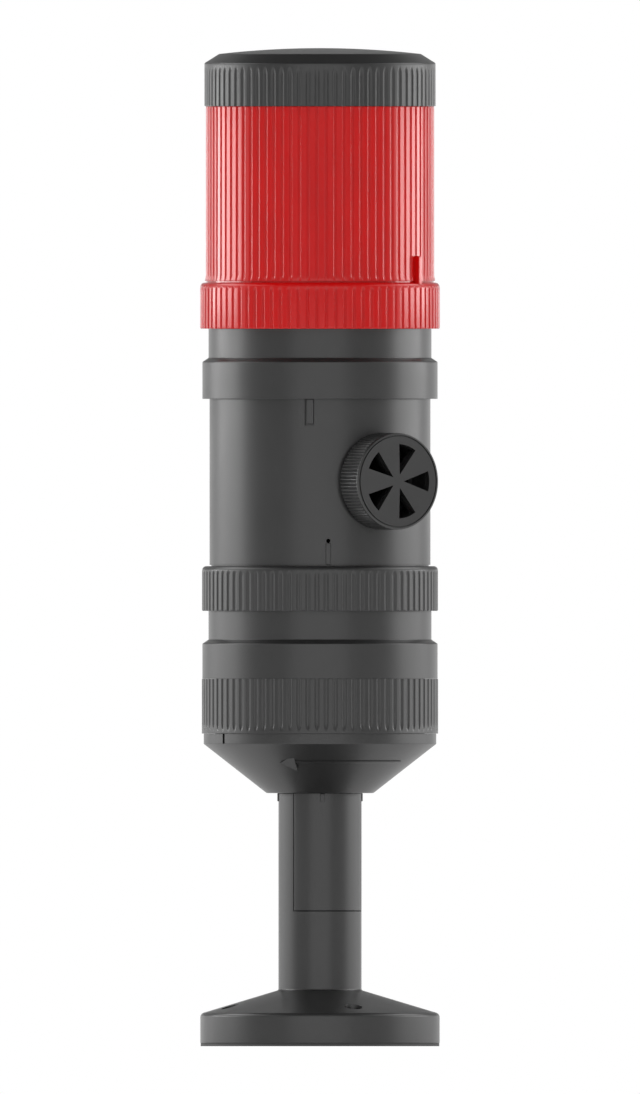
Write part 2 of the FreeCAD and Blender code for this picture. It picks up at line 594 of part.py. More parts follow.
def lugs(body, name, inner, outer, low, angle="lug_angle", height="lug_height"):
    """Add the evenly spaced lugs of a bayonet."""
    top = f"{low} + {height}"
    corners = [(inner, low), (outer, low), (outer, top), (inner, top)]
    lug = revolve(body, name, corners, angle=angle)
    repeat(body, f"{name}_pattern", lug, "lug_count")


def ring(label, inner, outer, low, high):
    """A plain ring with a rectangular section."""
    body = new_body(label)
    revolve(body, f"{label}_turn", [(inner, low), (outer, low), (outer, high), (inner, high)])
    return body


# Foot and tube

def foot_gasket():
    """Flat rubber gasket with the foot's screw holes."""
    body = new_body("foot_gasket", "front_angle + base_angle")
    radius = "foot_radius - gasket_inset"
    revolve(body, "gasket_disc", [
        ("foot_hub_radius - foot_wall", "0"),
        (radius, "0"),
        (radius, "foot_bottom"),
        ("foot_hub_radius - foot_wall", "foot_bottom"),
    ])
    sketch = new_sketch(body, "gasket_hole_sketch", "XY_Plane", "0", "foot_hole_turn")
    circle(sketch, "foot_hole_circle", "0", "foot_hole_radius")
    hole = raise_from(body, "gasket_hole", sketch, "foot_bottom", cut=True)
    repeat(body, "gasket_holes", hole, "foot_hole_count")


def tube_rib(body, name, turn):
    """A small upright rib at the tube's top."""
    sketch = new_sketch(body, f"{name}_sketch", "XY_Plane", "tube_top - tube_rib_height", turn)
    rectangle(sketch, "tube_radius - tube_wall / 2", "tube_radius + tube_rib_proud",
              "-tube_rib_width / 2", "tube_rib_width / 2")
    return raise_from(body, name, sketch, "tube_rib_height")


def mounting_foot():
    """Hollow foot, conical top and tube with its spigot and cable window, in one moulding."""
    body = new_body("mounting_foot", "front_angle + base_angle")
    revolve(body, "foot_turn", [
        ("tube_bore", "foot_bottom"),
        ("foot_radius", "foot_bottom"),
        ("foot_radius", "foot_rim_top", "foot_edge_round"),
        ("tube_radius", "tube_bottom"),
        ("tube_radius", "tube_top"),
        ("spigot_radius", "tube_top"),
        ("spigot_radius", "spigot_top"),
        ("tube_bore", "spigot_top"),
    ])
    pocket = revolve(body, "foot_hollow", [
        ("foot_hub_radius", "foot_bottom"),
        ("foot_inner_radius", "foot_bottom"),
        ("foot_inner_radius", "foot_ceiling_rim"),
        ("foot_hub_radius", "foot_ceiling_hub"),
    ], angle="360 / foot_hole_count - foot_land_angle", turn="180 / foot_hole_count + foot_hole_turn", cut=True)
    repeat(body, "foot_hollows", pocket, "foot_hole_count")
    sketch = new_sketch(body, "foot_hole_sketch", "XY_Plane", "foot_bottom", "foot_hole_turn")
    circle(sketch, "foot_hole_circle", "0", "foot_hole_radius")
    hole = raise_from(body, "foot_hole", sketch, "tube_bottom - foot_bottom", cut=True)
    repeat(body, "foot_holes", hole, "foot_hole_count")
    revolve(body, "cable_window", [
        ("tube_bore - tube_wall", "cover_bottom"),
        ("tube_radius + tube_wall", "cover_bottom"),
        ("tube_radius + tube_wall", "tube_top"),
        ("tube_bore - tube_wall", "tube_top"),
    ], angle="cover_angle", cut=True)
    rib = tube_rib(body, "tube_rib", "tube_rib_angle + 90")
    repeat(body, "tube_ribs", rib, None, span=180, turn_count=3)


def tube_cover():
    """Curved cover of the cable window, with lips behind the tube's wall."""
    body = new_body("tube_cover", "front_angle + base_angle")
    low = "cover_bottom + cover_gap"
    high = "tube_top - fit_gap"
    gap_angle = "cover_gap / tube_radius * 180 / pi"
    revolve(body, "cover_shell", [
        ("liner_bore", low), ("tube_radius", low), ("tube_radius", high), ("liner_bore", high),
    ], angle=f"cover_angle - 2 * {gap_angle}")
    revolve(body, "cover_lips", [
        ("liner_bore", low), ("liner_radius", low), ("liner_radius", high), ("liner_bore", high),
    ], angle="cover_angle + 2 * liner_overlap_angle")
    sketch = new_sketch(body, "cover_rib_sketch", "XY_Plane", "tube_top - tube_rib_height", "tube_rib_angle")
    rectangle(sketch, "tube_radius - tube_wall / 2", "tube_radius + tube_rib_proud",
              "-tube_rib_width / 2", "tube_rib_width / 2")
    raise_from(body, "cover_rib", sketch, "tube_rib_height - fit_gap")


# Adapter cone

def tube_nut():
    """Hexagon nut that clamps the adapter on the tube."""
    body = new_body("tube_nut")
    sketch = new_sketch(body, "nut_sketch", "XY_Plane", "sleeve_top")
    corners = []
    for corner in range(6):
        angle = f"{60 * corner}"
        corners.append((f"nut_corner_radius * cos({angle})", f"nut_corner_radius * sin({angle})"))
    outline(sketch, corners)
    circle(sketch, "0", "0", "sleeve_bore")
    raise_from(body, "nut_pad", sketch, "nut_height")


def arrow(body):
    """Raised arrow on the cone that shows how the lock ring is closed."""
    half_width = "arrow_shaft_width / 2 * sin(atan(adapter_slope))"
    low = f"arrow_height - {half_width}"
    high = f"arrow_height + {half_width}"
    reach = f"{half_width} / adapter_slope"
    proud = "arrow_proud / sin(atan(adapter_slope))"
    revolve(body, "arrow_shaft", [
        (f"arrow_radius - {reach} - arrow_proud", low),
        (f"arrow_radius - {reach} + {proud}", low),
        (f"arrow_radius + {reach} + {proud}", high),
        (f"arrow_radius + {reach} - arrow_proud", high),
    ], angle="arrow_shaft_start - arrow_shaft_end", turn="(arrow_shaft_start + arrow_shaft_end) / 2")
    # The head is a flat triangle on the cone, drawn on a plane that leans as the cone does
    turn = "arrow_shaft_end - arrow_head_length / 2 / arrow_radius * 180 / pi"
    sketch = body.newObject("Sketcher::SketchObject", "arrow_head_sketch")
    sketch.AttachmentSupport = [(origin_feature(body, "XY_Plane"), "")]
    sketch.MapMode = "FlatFace"
    place = f"vector(arrow_radius * cos({turn}); arrow_radius * sin({turn}); arrow_height)"
    lean = "90 deg + atan(adapter_slope)"
    bind(sketch, "AttachmentOffset", f"placement({place}; rotation({turn} + 90; 0; {lean}))")
    outline(sketch, [
        ("arrow_head_length / 2", "-arrow_head_width / 2"),
        ("arrow_head_length / 2", "arrow_head_width / 2"),
        ("-arrow_head_length / 2", "0"),
    ])
    head = raise_from(body, "arrow_head", sketch, "2 * arrow_proud")
    head.Midplane = True


def adapter_cone():
    """Inverted cone on the tube, with the neck that carries the lock ring."""
    body = new_body("adapter_cone")
    revolve(body, "adapter_turn", [
        ("sleeve_bore", "tube_seal_top"),
        ("seal_recess_radius", "tube_seal_top"),
        ("seal_recess_radius", "tube_top"),
        ("adapter_bottom_radius", "tube_top"),
        ("adapter_radius", "adapter_cone_top"),
        ("adapter_radius", "adapter_top"),
        ("lock_neck_radius", "adapter_top"),
        ("lock_neck_radius", "lock_neck_top"),
        ("lock_neck_bore", "lock_neck_top"),
        ("lock_neck_bore", "adapter_floor_rim"),
        ("sleeve_radius", "adapter_floor_hub"),
        ("sleeve_radius", "sleeve_top"),
        ("sleeve_bore", "sleeve_top"),
    ])
    lugs(body, "lock_bead", "lock_neck_radius - lug_root", "lock_lug_radius", "bead_bottom",
         angle="bead_angle", height="bead_height")
    arrow(body)
    sketch = new_sketch(body, "slot_mark_sketch", "XY_Plane", "adapter_cone_top", "slot_angle")
    rectangle(sketch, "adapter_radius - slot_depth", "adapter_radius + slot_depth",
              "-slot_width / 2", "slot_width / 2")
    raise_from(body, "slot_mark", sketch, "adapter_band_height", cut=True)


# Lock ring

def lock_ring():
    """Knurled ring whose lugs pull the terminal element down on the adapter."""
    body = new_body("lock_ring")
    revolve(body, "lock_turn", [
        ("lock_lip_bore", "lock_bottom"),
        ("lock_ring_radius", "lock_bottom"),
        ("lock_ring_radius", "lock_top"),
        ("lock_ring_bore", "lock_top"),
        ("lock_ring_bore", "lock_lip_top"),
        ("lock_lip_bore", "lock_lip_top"),
    ])
    lugs(body, "lock_lug", "lock_lip_bore", "lock_ring_bore + lug_root", "lock_lug_bottom")
    knurl(body, "lock_knurl", "lock_ring_radius", "lock_bottom + lock_band_height", "lock_top")


# Terminal element

def neck_corners(ring_top, neck_bottom, element_bottom):
    """Outline of a chamfered ring's top and the neck above it, with the seal's groove."""
    seal_low = f"{element_bottom} + neck_seal_rise"
    seal_high = f"{seal_low} + neck_seal_height"
    return [
        ("collar_radius", ring_top),
        ("neck_radius", neck_bottom),
        ("neck_radius", seal_low),
        ("neck_seal_radius", seal_low),
        ("neck_seal_radius", seal_high),
        ("neck_radius", seal_high),
        ("neck_radius", f"{element_bottom} + neck_insert"),
        ("neck_bore", f"{element_bottom} + neck_insert"),
    ]


def neck_lugs(body, name, element_bottom):
    """Lugs inside a neck, above those of the spigot that they hold."""
    low = f"{element_bottom} + lug_rise + lug_height + running_gap"
    lugs(body, name, "neck_lug_bore", "neck_bore + lug_root", low)


def neck_seal(label, element_bottom):
    """Ring seal in a neck's groove."""
    low = f"{element_bottom} + neck_seal_rise + fit_gap"
    high = f"{element_bottom} + neck_seal_rise + neck_seal_height - fit_gap"
    ring(label, "neck_seal_radius + fit_gap", "neck_radius", low, high)


def terminal_housing():
    """Housing of the terminal element: spigot in the lock ring, deck, plain ring and neck."""
    body = new_body("terminal_housing")
    revolve(body, "terminal_turn", [
        ("lock_neck_bore", "terminal_bottom"),
        ("lock_neck_radius", "terminal_bottom"),
        ("lock_neck_radius", "terminal_ring_bottom"),
        ("collar_radius", "terminal_ring_bottom"),
        *neck_corners("terminal_ring_top", "terminal_neck_bottom", "siren_bottom"),
        ("neck_bore", "terminal_deck_top"),
        ("wire_hole_radius", "terminal_deck_top"),
        ("wire_hole_radius", "terminal_deck_bottom"),
        ("lock_neck_bore", "terminal_deck_bottom"),
    ])
    lugs(body, "terminal_lug", "lock_neck_radius - lug_root", "lock_lug_radius", "terminal_lug_bottom")
    neck_lugs(body, "terminal_neck_lug", "siren_bottom")


def contact_rectangles(sketch, margin):
    """Draw the row of contacts, each wider by a margin all round."""
    low_x = f"siren_board_back - contact_depth - {margin}"
    high_x = f"siren_board_back + {margin}"
    for contact in range(round(number("contact_count"))):
        centre = f"({contact} - (contact_count - 1) / 2) * contact_pitch"
        rectangle(sketch, low_x, high_x,
                  f"{centre} - contact_width / 2 - {margin}", f"{centre} + contact_width / 2 + {margin}")


def contacts(label, low, high):
    """Row of upright contact strips, separate solids of one group."""
    body = new_body(label, "front_angle + outlet_angle")
    sketch = new_sketch(body, f"{label}_sketch", "XY_Plane", low)
    contact_rectangles(sketch, "0")
    raise_from(body, f"{label}_pad", sketch, f"{high} - ({low})")


def contact_carrier(label, low, seat, high):
    """Plug that holds a row of contacts in a deck's hole."""
    body = new_body(label, "front_angle + outlet_angle")
    revolve(body, f"{label}_turn", [
        ("0", low),
        ("carrier_radius", low),
        ("carrier_radius", seat),
        ("carrier_flange_radius", seat),
        ("carrier_flange_radius", f"{seat} + carrier_flange_height"),
        ("carrier_radius", f"{seat} + carrier_flange_height"),
        ("carrier_radius", high),
        ("0", high),
    ])
    sketch = new_sketch(body, f"{label}_slot_sketch", "XY_Plane", low)
    contact_rectangles(sketch, "fit_gap / 2")
    raise_from(body, f"{label}_slots", sketch, f"{high} - ({low})", cut=True)


def terminal_board():
    """Round circuit board on the terminal deck."""
    ring("terminal_board", "wire_hole_radius", "neck_bore - terminal_board_gap",
         "terminal_deck_top", "terminal_board_top")


def way_centres():
    """Positions of the screws along a terminal block."""
    ways = round(number("block_ways"))
    return [f"({way} - (block_ways - 1) / 2) * block_pitch" for way in range(ways)]


def terminal_block(label, turn):
    """Terminal block under the deck, with screw holes below and wire entries at the back."""
    body = new_body(label, turn)
    sketch = new_sketch(body, f"{label}_sketch", "XY_Plane", "block_bottom")
    rectangle(sketch, "block_offset", "block_offset + block_width", "-block_length / 2", "block_length / 2")
    raise_from(body, f"{label}_pad", sketch, "block_height")
    sketch = new_sketch(body, f"{label}_screw_hole_sketch", "XY_Plane", "block_bottom")
    for centre in way_centres():
        circle(sketch, "block_screw_offset", centre, "screw_radius + fit_gap")
    raise_from(body, f"{label}_screw_holes", sketch, "screw_recess + screw_length", cut=True)
    sketch = new_sketch(body, f"{label}_entry_sketch", "YZ_Plane", "block_offset")
    for centre in way_centres():
        circle(sketch, centre, "block_bottom + block_height / 2 + screw_radius", "wire_entry_radius")
    raise_from(body, f"{label}_entries", sketch, "block_width / 2", cut=True)


def terminal_screws():
    """Clamping screws of both terminal blocks."""
    body = new_body("terminal_screws")
    sketch = new_sketch(body, "terminal_screw_sketch", "XY_Plane", "block_bottom + screw_recess")
    for centre in way_centres():
        circle(sketch, "block_screw_offset", centre, "screw_radius")
    pad = raise_from(body, "terminal_screw_row", sketch, "screw_length")
    repeat(body, "terminal_screw_rows", pad, None, turn_count=2)


# Siren element

def spigot_corners(floor_bottom, element_bottom):
    """Outline of a bayonet spigot that hangs from a floor, from the wire hole outwards."""
    low = f"{element_bottom} + spigot_clear"
    return [
        ("wire_hole_radius", floor_bottom),
        ("bayonet_spigot_bore", floor_bottom),
        ("bayonet_spigot_bore", low),
        ("bayonet_spigot_radius", low),
        ("bayonet_spigot_radius", floor_bottom),
    ]


def spigot_lugs(body, name, element_bottom):
    """Lugs outside a spigot, below those of the neck that holds them."""
    lugs(body, name, "bayonet_spigot_radius - lug_root", "bayonet_radius", f"{element_bottom} + lug_rise")


def siren_base():
    """Knurled skirt of the siren with its floor, bayonet spigot and centring rim."""
    body = new_body("siren_base")
    revolve(body, "siren_base_turn", [
        *spigot_corners("siren_floor_bottom", "siren_bottom"),
        ("skirt_bore", "siren_floor_bottom"),
        ("skirt_bore", "siren_bottom"),
        ("skirt_radius", "siren_bottom"),
        ("skirt_radius", "siren_body_bottom", "skirt_round"),
        ("siren_rim_radius", "siren_body_bottom"),
        ("siren_rim_radius", "siren_rim_top"),
        ("siren_rim_bore", "siren_rim_top"),
        ("siren_rim_bore", "siren_floor_top"),
        ("wire_hole_radius", "siren_floor_top"),
    ])
    spigot_lugs(body, "siren_lug", "siren_bottom")
    knurl(body, "siren_knurl", "skirt_radius", "siren_bottom", "siren_body_bottom - skirt_band_height")


def contact_plate(label, low, high):
    """Round board with the pads that meet the contacts below."""
    body = new_body(label)
    revolve(body, f"{label}_turn", [("0", low), ("plate_radius", low), ("plate_radius", high), ("0", high)])


def upright_mark(body, name, turn, radius, root, proud, width, low, height):
    """Raised upright mark on a round wall."""
    sketch = new_sketch(body, f"{name}_sketch", "XY_Plane", low, turn)
    rectangle(sketch, f"{radius} - {root}", f"{radius} + {proud}", f"-{width} / 2", f"{width} / 2")
    raise_from(body, name, sketch, height)


def siren_housing():
    """Round body of the siren, with the boss of the sound outlet and two raised marks."""
    body = new_body("siren_housing")
    revolve(body, "siren_turn", [
        ("0", "siren_body_bottom"),
        ("siren_body_radius - siren_groove_depth", "siren_body_bottom"),
        ("siren_body_radius - siren_groove_depth", "siren_body_bottom + siren_groove_height"),
        ("siren_body_radius", "siren_body_bottom + siren_groove_height"),
        ("siren_body_radius", "siren_body_top"),
        ("0", "siren_body_top"),
    ])
    sketch = new_sketch(body, "outlet_boss_sketch", "XZ_Plane", turn="outlet_angle + 90")
    circle(sketch, "0", "outlet_height", "outlet_boss_radius")
    raise_from(body, "outlet_boss", sketch, "baffle_back")
    revolve(body, "siren_hollow", [
        ("0", "siren_body_bottom"),
        ("siren_bore", "siren_body_bottom"),
        ("siren_bore", "siren_body_top"),
        ("0", "siren_body_top"),
    ], cut=True)
    sketch = new_sketch(body, "outlet_bore_sketch", "XZ_Plane", turn="outlet_angle + 90")
    circle(sketch, "0", "outlet_height", "outlet_bore")
    raise_from(body, "outlet_bore_cut", sketch, "baffle_back", cut=True)
    upright_mark(body, "tab_mark", "tab_angle", "siren_body_radius", "siren_wall / 2", "mark_proud",
                 "tab_width", "siren_body_top - tab_height", "tab_height")
    upright_mark(body, "pointer_mark", "pointer_angle", "siren_body_radius", "siren_wall / 2", "mark_proud",
                 "pointer_width", "siren_body_bottom", "pointer_height")


def siren_board():
    """Upright circuit board behind the sounder."""
    body = new_body("siren_board", "front_angle + outlet_angle")
    sketch = new_sketch(body, "siren_board_sketch", "XY_Plane", "siren_floor_top")
    rectangle(sketch, "siren_board_back", "-siren_board_setback",
              "-siren_board_width / 2", "siren_board_width / 2")
    raise_from(body, "siren_board_pad", sketch, "siren_board_height")


def siren_sounder():
    """Round sounder on the siren board, with its mouth towards the outlet."""
    body = outlet_body("siren_sounder")
    mouth_floor = "sounder_front - sounder_mouth_depth"
    revolve(body, "sounder_turn", [
        ("0", "sounder_back"),
        ("sounder_radius", "sounder_back"),
        ("sounder_radius", "sounder_front"),
        ("sounder_mouth_radius", "sounder_front"),
        ("sounder_mouth_radius", mouth_floor),
        ("0", mouth_floor),
    ])


def sound_duct():
    """Tube that leads the sound from the sounder into the outlet."""
    body = outlet_body("sound_duct")
    flange_front = "sounder_front + duct_flange"
    revolve(body, "duct_turn", [
        ("duct_bore", "sounder_front"),
        ("sounder_radius", "sounder_front"),
        ("sounder_radius", flange_front),
        ("duct_radius", flange_front),
        ("duct_radius", "duct_end"),
        ("duct_bore", "duct_end"),
    ])


def wedge_openings(body, name, low, depth):
    """Cut the wedge openings round the outlet's axis."""
    sketch = new_sketch(body, f"{name}_sketch", "XY_Plane", low)
    outer_x = "opening_radius * cos(opening_half_angle)"
    outer_y = "opening_radius * sin(opening_half_angle)"
    outline(sketch, [
        ("opening_apex", "0"),
        (outer_x, f"-{outer_y}"),
        ("opening_radius", "0"),
        (outer_x, outer_y),
    ])
    opening = raise_from(body, name, sketch, depth, cut=True)
    repeat(body, f"{name}_pattern", opening, "opening_count")


def outlet_baffle():
    """Fixed disc on the boss, with the openings that the knob covers when it turns."""
    body = outlet_body("outlet_baffle")
    revolve(body, "baffle_turn", [
        ("baffle_bore", "baffle_back"),
        ("outlet_boss_radius", "baffle_back"),
        ("outlet_boss_radius", "baffle_front"),
        ("baffle_bore", "baffle_front"),
    ])
    wedge_openings(body, "baffle_opening", "baffle_back", "baffle_thickness")


def volume_knob():
    """Knurled knob with wedge openings and the stem that it turns on."""
    body = outlet_body("volume_knob")
    revolve(body, "knob_turn", [
        ("0", "stem_back"),
        ("stem_radius", "stem_back"),
        ("stem_radius", "knob_disc_back"),
        ("knob_bore", "knob_disc_back"),
        ("knob_bore", "knob_back"),
        ("knob_radius", "knob_back"),
        ("knob_radius", "knob_face", "knob_round"),
        ("0", "knob_face"),
    ])
    line_floor = "knob_face - knob_line_depth"
    line_radius = "knob_line_radius - knob_line_width"
    revolve(body, "knob_line", [
        (line_radius, line_floor),
        ("knob_line_radius", line_floor),
        ("knob_line_radius", "knob_face"),
        (line_radius, "knob_face"),
    ], cut=True)
    wedge_openings(body, "knob_opening", "knob_disc_back", "knob_disc")
    sketch = new_sketch(body, "knob_knurl_sketch", "XY_Plane", "knob_back")
    half_root = "knob_knurl_root / 2"
    half_outside = "(knob_knurl_mouth - knob_knurl_root / 2)"
    inside = "knob_radius - knob_knurl_depth"
    outside = "knob_radius + knob_knurl_depth"
    outline(sketch, [
        (inside, f"-{half_root}"),
        (outside, f"-{half_outside}"),
        (outside, half_outside),
        (inside, half_root),
    ])
    groove = raise_from(body, "knob_knurl", sketch, "knob_depth - knob_smooth", cut=True)
    repeat(body, "knob_knurl_pattern", groove, "knob_knurl_count")


def knob_clip():
    """Push-on clip behind the baffle that keeps the knob on."""
    body = outlet_body("knob_clip")
    revolve(body, "clip_turn", [
        ("stem_radius", "clip_back"),
        ("clip_radius", "clip_back"),
        ("clip_radius", "clip_front"),
        ("stem_radius", "clip_front"),
    ])


def siren_collar():
    """Plain ring, chamfer and neck on top of the siren, with a deck inside."""
    body = new_body("siren_collar")
    revolve(body, "collar_turn", [
        ("siren_rim_bore", "siren_collar_foot"),
        ("siren_rim_radius", "siren_collar_foot"),
        ("siren_rim_radius", "siren_body_top"),
        ("collar_radius", "siren_body_top"),
        *neck_corners("siren_ring_top", "siren_neck_bottom", "light_bottom"),
        ("neck_bore", "siren_deck_top"),
        ("wire_hole_radius", "siren_deck_top"),
        ("wire_hole_radius", "siren_deck_bottom"),
        ("siren_rim_bore", "siren_deck_bottom"),
    ])
    neck_lugs(body, "collar_neck_lug", "light_bottom")


# Light element

def light_base():
    """Floor of the light element with its bayonet spigot."""
    body = new_body("light_base")
    revolve(body, "light_base_turn", [
        *spigot_corners("light_floor_bottom", "light_bottom"),
        ("light_floor_radius", "light_floor_bottom"),
        ("light_floor_radius", "light_floor_top"),
        ("wire_hole_radius", "light_floor_top"),
    ])
    spigot_lugs(body, "light_lug", "light_bottom")


def lens():
    """Red lens and skirt in one moulding, ribbed outside, with a raised mark."""
    body = new_body("lens")
    revolve(body, "lens_turn", [
        ("skirt_bore", "light_bottom"),
        ("lens_skirt_radius", "light_bottom"),
        ("lens_skirt_radius", "lens_body_bottom", "lens_shoulder_round"),
        ("lens_radius", "lens_body_bottom"),
        ("lens_radius", "lens_top"),
        ("lens_bore", "lens_top"),
        ("lens_bore", "light_floor_top"),
        ("skirt_bore", "light_floor_top"),
    ])
    knurl(body, "lens_skirt_knurl", "lens_skirt_radius", "light_bottom", "lens_body_bottom - lens_knurl_band")
    knurl(body, "lens_knurl", "lens_radius", "lens_body_bottom + lens_foot_band", "lens_top",
          depth="lens_groove_depth")
    upright_mark(body, "lens_bar", "bar_angle", "lens_skirt_radius", "(lens_skirt_radius - lens_radius + bar_root)",
                 "0", "bar_width", "lens_body_bottom - lens_shoulder_round", "bar_height + lens_shoulder_round")


def led_column():
    """Square column for the lamp boards, on a flange, with a foot down to the contact plate."""
    body = new_body("led_column")
    revolve(body, "column_foot_turn", [
        ("0", "light_plate_top"),
        ("carrier_radius", "light_plate_top"),
        ("carrier_radius", "light_floor_top"),
        ("column_flange_radius", "light_floor_top"),
        ("column_flange_radius", "column_foot"),
        ("0", "column_foot"),
    ])
    sketch = new_sketch(body, "column_sketch", "XY_Plane", "column_foot")
    rectangle(sketch, "-column_width / 2", "column_width / 2", "-column_width / 2", "column_width / 2")
    raise_from(body, "column_pad", sketch, "column_height")
    sketch = new_sketch(body, "column_hollow_sketch", "XY_Plane", "column_foot")
    inner = "column_width / 2 - column_wall"
    rectangle(sketch, f"-({inner})", inner, f"-({inner})", inner)
    raise_from(body, "column_hollow", sketch, "column_height", cut=True)


def led_boards():
    """Four lamp boards on the faces of the column, separate solids of one group."""
    body = new_body("led_boards")
    sketch = new_sketch(body, "led_board_sketch", "XY_Plane", "column_foot")
    rectangle(sketch, "led_board_back", "led_back", "-led_board_width / 2", "led_board_width / 2")
    board = raise_from(body, "led_board", sketch, "led_board_height")
    repeat(body, "led_board_pattern", board, None, turn_count=4)


def leds():
    """The lamps, separate solids of one group."""
    lamps = []
    middle = "column_foot + led_board_height / 2"
    for side in range(4):
        for row in range(round(number("led_rows"))):
            lamp = doc.addObject("Part::Box", f"led_{side}_{row}")
            bind(lamp, "Length", "led_height")
            bind(lamp, "Width", "led_size")
            bind(lamp, "Height", "led_size")
            turn = f"(front_angle + {90 * side})"
            x_text = f"led_back * cos({turn}) + led_size / 2 * sin({turn})"
            y_text = f"led_back * sin({turn}) - led_size / 2 * cos({turn})"
            z_text = f"{middle} + ({row} - (led_rows - 1) / 2) * led_row_pitch - led_size / 2"
            bind(lamp, "Placement", f"placement(vector({x_text}; {y_text}; {z_text}); rotation({turn}; 0; 0))")
            lamps.append(lamp)
    group = doc.addObject("Part::MultiFuse", "leds")
    group.Label = "leds"
    group.Shapes = lamps
    pieces.append(group)


def light_collar():
    """Black ring in the lens top, whose neck carries the cap."""
    body = new_body("light_collar")
    seal_low = "lens_top + neck_seal_rise"
    seal_high = f"{seal_low} + neck_seal_height"
    revolve(body, "light_collar_turn", [
        ("cap_neck_bore", "lens_top - cap_neck_foot"),
        ("collar_plug_radius", "lens_top - cap_neck_foot"),
        ("collar_plug_radius", "lens_top"),
        ("cap_neck_radius", "lens_top"),
        ("cap_neck_radius", seal_low),
        ("cap_seal_radius", seal_low),
        ("cap_seal_radius", seal_high),
        ("cap_neck_radius", seal_high),
        ("cap_neck_radius", "cap_neck_top"),
        ("cap_neck_bore", "cap_neck_top"),
    ])
    lugs(body, "light_collar_lug", "cap_neck_lug_bore", "cap_neck_bore + lug_root",
         "lens_top + lug_rise + lug_height + running_gap")


# Cap

def end_cap():
    """Knurled cap with a chamfer, a shallow dome and a bayonet spigot inside."""
    body = new_body("end_cap")
    spigot_low = "lens_top + spigot_clear"
    revolve(body, "cap_turn", [
        ("0", "cap_ceiling"),
        ("cap_spigot_bore", "cap_ceiling"),
        ("cap_spigot_bore", spigot_low),
        ("cap_spigot_radius", spigot_low),
        ("cap_spigot_radius", "cap_ceiling"),
        ("cap_bore", "cap_ceiling"),
        ("cap_bore", "cap_bottom"),
        ("cap_radius", "cap_bottom"),
        ("cap_radius", "cap_side_top"),
        ("cap_rim_radius", "cap_chamfer_top"),
        ("cap_dome_shoulder", "cap_top", "cap_dome_round"),
        ("0", "cap_top"),
    ])
    lugs(body, "cap_lug", "cap_spigot_radius - lug_root", "cap_lug_radius", "lens_top + lug_rise")
    knurl(body, "cap_knurl", "cap_radius", "cap_bottom", "cap_side_top - cap_band_height")


# Checks and files

def check_features():
    """Stop if a feature failed, or if one that should cut or add changed nothing."""
    for item in doc.Objects:
        if "Invalid" in item.State or "Error" in item.State:
            raise RuntimeError(f"{item.Name} failed: {item.State}")
    for body in doc.findObjects("PartDesign::Body"):
        volume = 0.0
        for feature in body.Group:
            if not feature.isDerivedFrom("PartDesign::Feature"):
                continue
            change = feature.Shape.Volume - volume
            source = feature.Originals[0] if hasattr(feature, "Originals") else feature
            cuts = source.TypeId in ("PartDesign::Pocket", "PartDesign::Groove")
            if change >= 0 if cuts else change <= 0:
                raise RuntimeError(f"{feature.Name} changed the volume by {change:.4f}")
            volume = feature.Shape.Volume


def write_pieces():
    """Check every piece and write its file."""
    os.makedirs("parts", exist_ok=True)
    for piece in pieces:
        if piece.Shape.isNull() or not piece.Shape.isValid():
            raise RuntimeError(f"{piece.Label} has no valid shape")
    for piece in pieces:
        piece.Shape.exportStep(f"parts/{piece.Label}.step")
        box = piece.Shape.BoundBox
        print(f"{piece.Label}: {len(piece.Shape.Solids)} solids, {piece.Shape.Volume:.0f} mm3,"
              f" z {box.ZMin:.2f} to {box.ZMax:.2f}")


fill_sheets()
foot_gasket()
mounting_foot()
tube_cover()
ring("tube_seal", "sleeve_bore", "seal_recess_radius - fit_gap", "tube_top", "tube_seal_top")
adapter_cone()
tube_nut()
lock_ring()
ring("lock_seal", "lock_neck_bore + fit_gap", "lock_neck_radius - fit_gap", "lock_neck_top", "terminal_bottom")
terminal_housing()
terminal_board()
terminal_block("terminal_block_front", "front_angle")
terminal_block("terminal_block_rear", "front_angle + 180")
terminal_screws()
contact_carrier("terminal_pin_carrier", "terminal_deck_bottom", "terminal_board_top", "siren_bottom")
contacts("terminal_pins", "terminal_deck_bottom", "siren_plate_bottom - contact_gap")
neck_seal("terminal_neck_seal", "siren_bottom")
siren_base()
contact_plate("siren_contact_plate", "siren_plate_bottom", "siren_plate_top")
siren_housing()
siren_board()
siren_sounder()
sound_duct()
outlet_baffle()
volume_knob()
knob_clip()
siren_collar()
contact_carrier("siren_pin_carrier", "siren_deck_bottom", "siren_deck_top", "light_bottom")
contacts("siren_bus_bars", "siren_plate_top", "light_plate_bottom - contact_gap")
neck_seal("siren_neck_seal", "light_bottom")
light_base()
contact_plate("light_contact_plate", "light_plate_bottom", "light_plate_top")
lens()
led_column()
led_boards()
leds()
light_collar()
ring("cap_seal", "cap_seal_radius + fit_gap", "cap_neck_radius", "lens_top + neck_seal_rise + fit_gap",
     "lens_top + neck_seal_rise + neck_seal_height - fit_gap")
end_cap()
doc.recompute()
check_features()
write_pieces()
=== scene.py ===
import bmesh
import bpy
import math
from mathutils import Matrix, Vector


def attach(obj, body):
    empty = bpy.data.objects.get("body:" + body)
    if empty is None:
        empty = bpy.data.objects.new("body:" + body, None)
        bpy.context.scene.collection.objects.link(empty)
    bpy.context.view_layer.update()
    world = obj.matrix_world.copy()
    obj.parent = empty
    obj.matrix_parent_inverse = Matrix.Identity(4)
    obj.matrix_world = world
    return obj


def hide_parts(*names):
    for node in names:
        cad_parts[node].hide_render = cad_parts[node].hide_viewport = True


# A 70 mm stack light: foot with tube, cone adapter, lock ring, terminal, siren, red light and cap.
# Every piece is drawn in millimetres and brought to metres when its object is made. Heights count
# from the mounting face under the gasket.
# Angles round the tower are in degrees from its front (-Y), anticlockwise as seen from above.

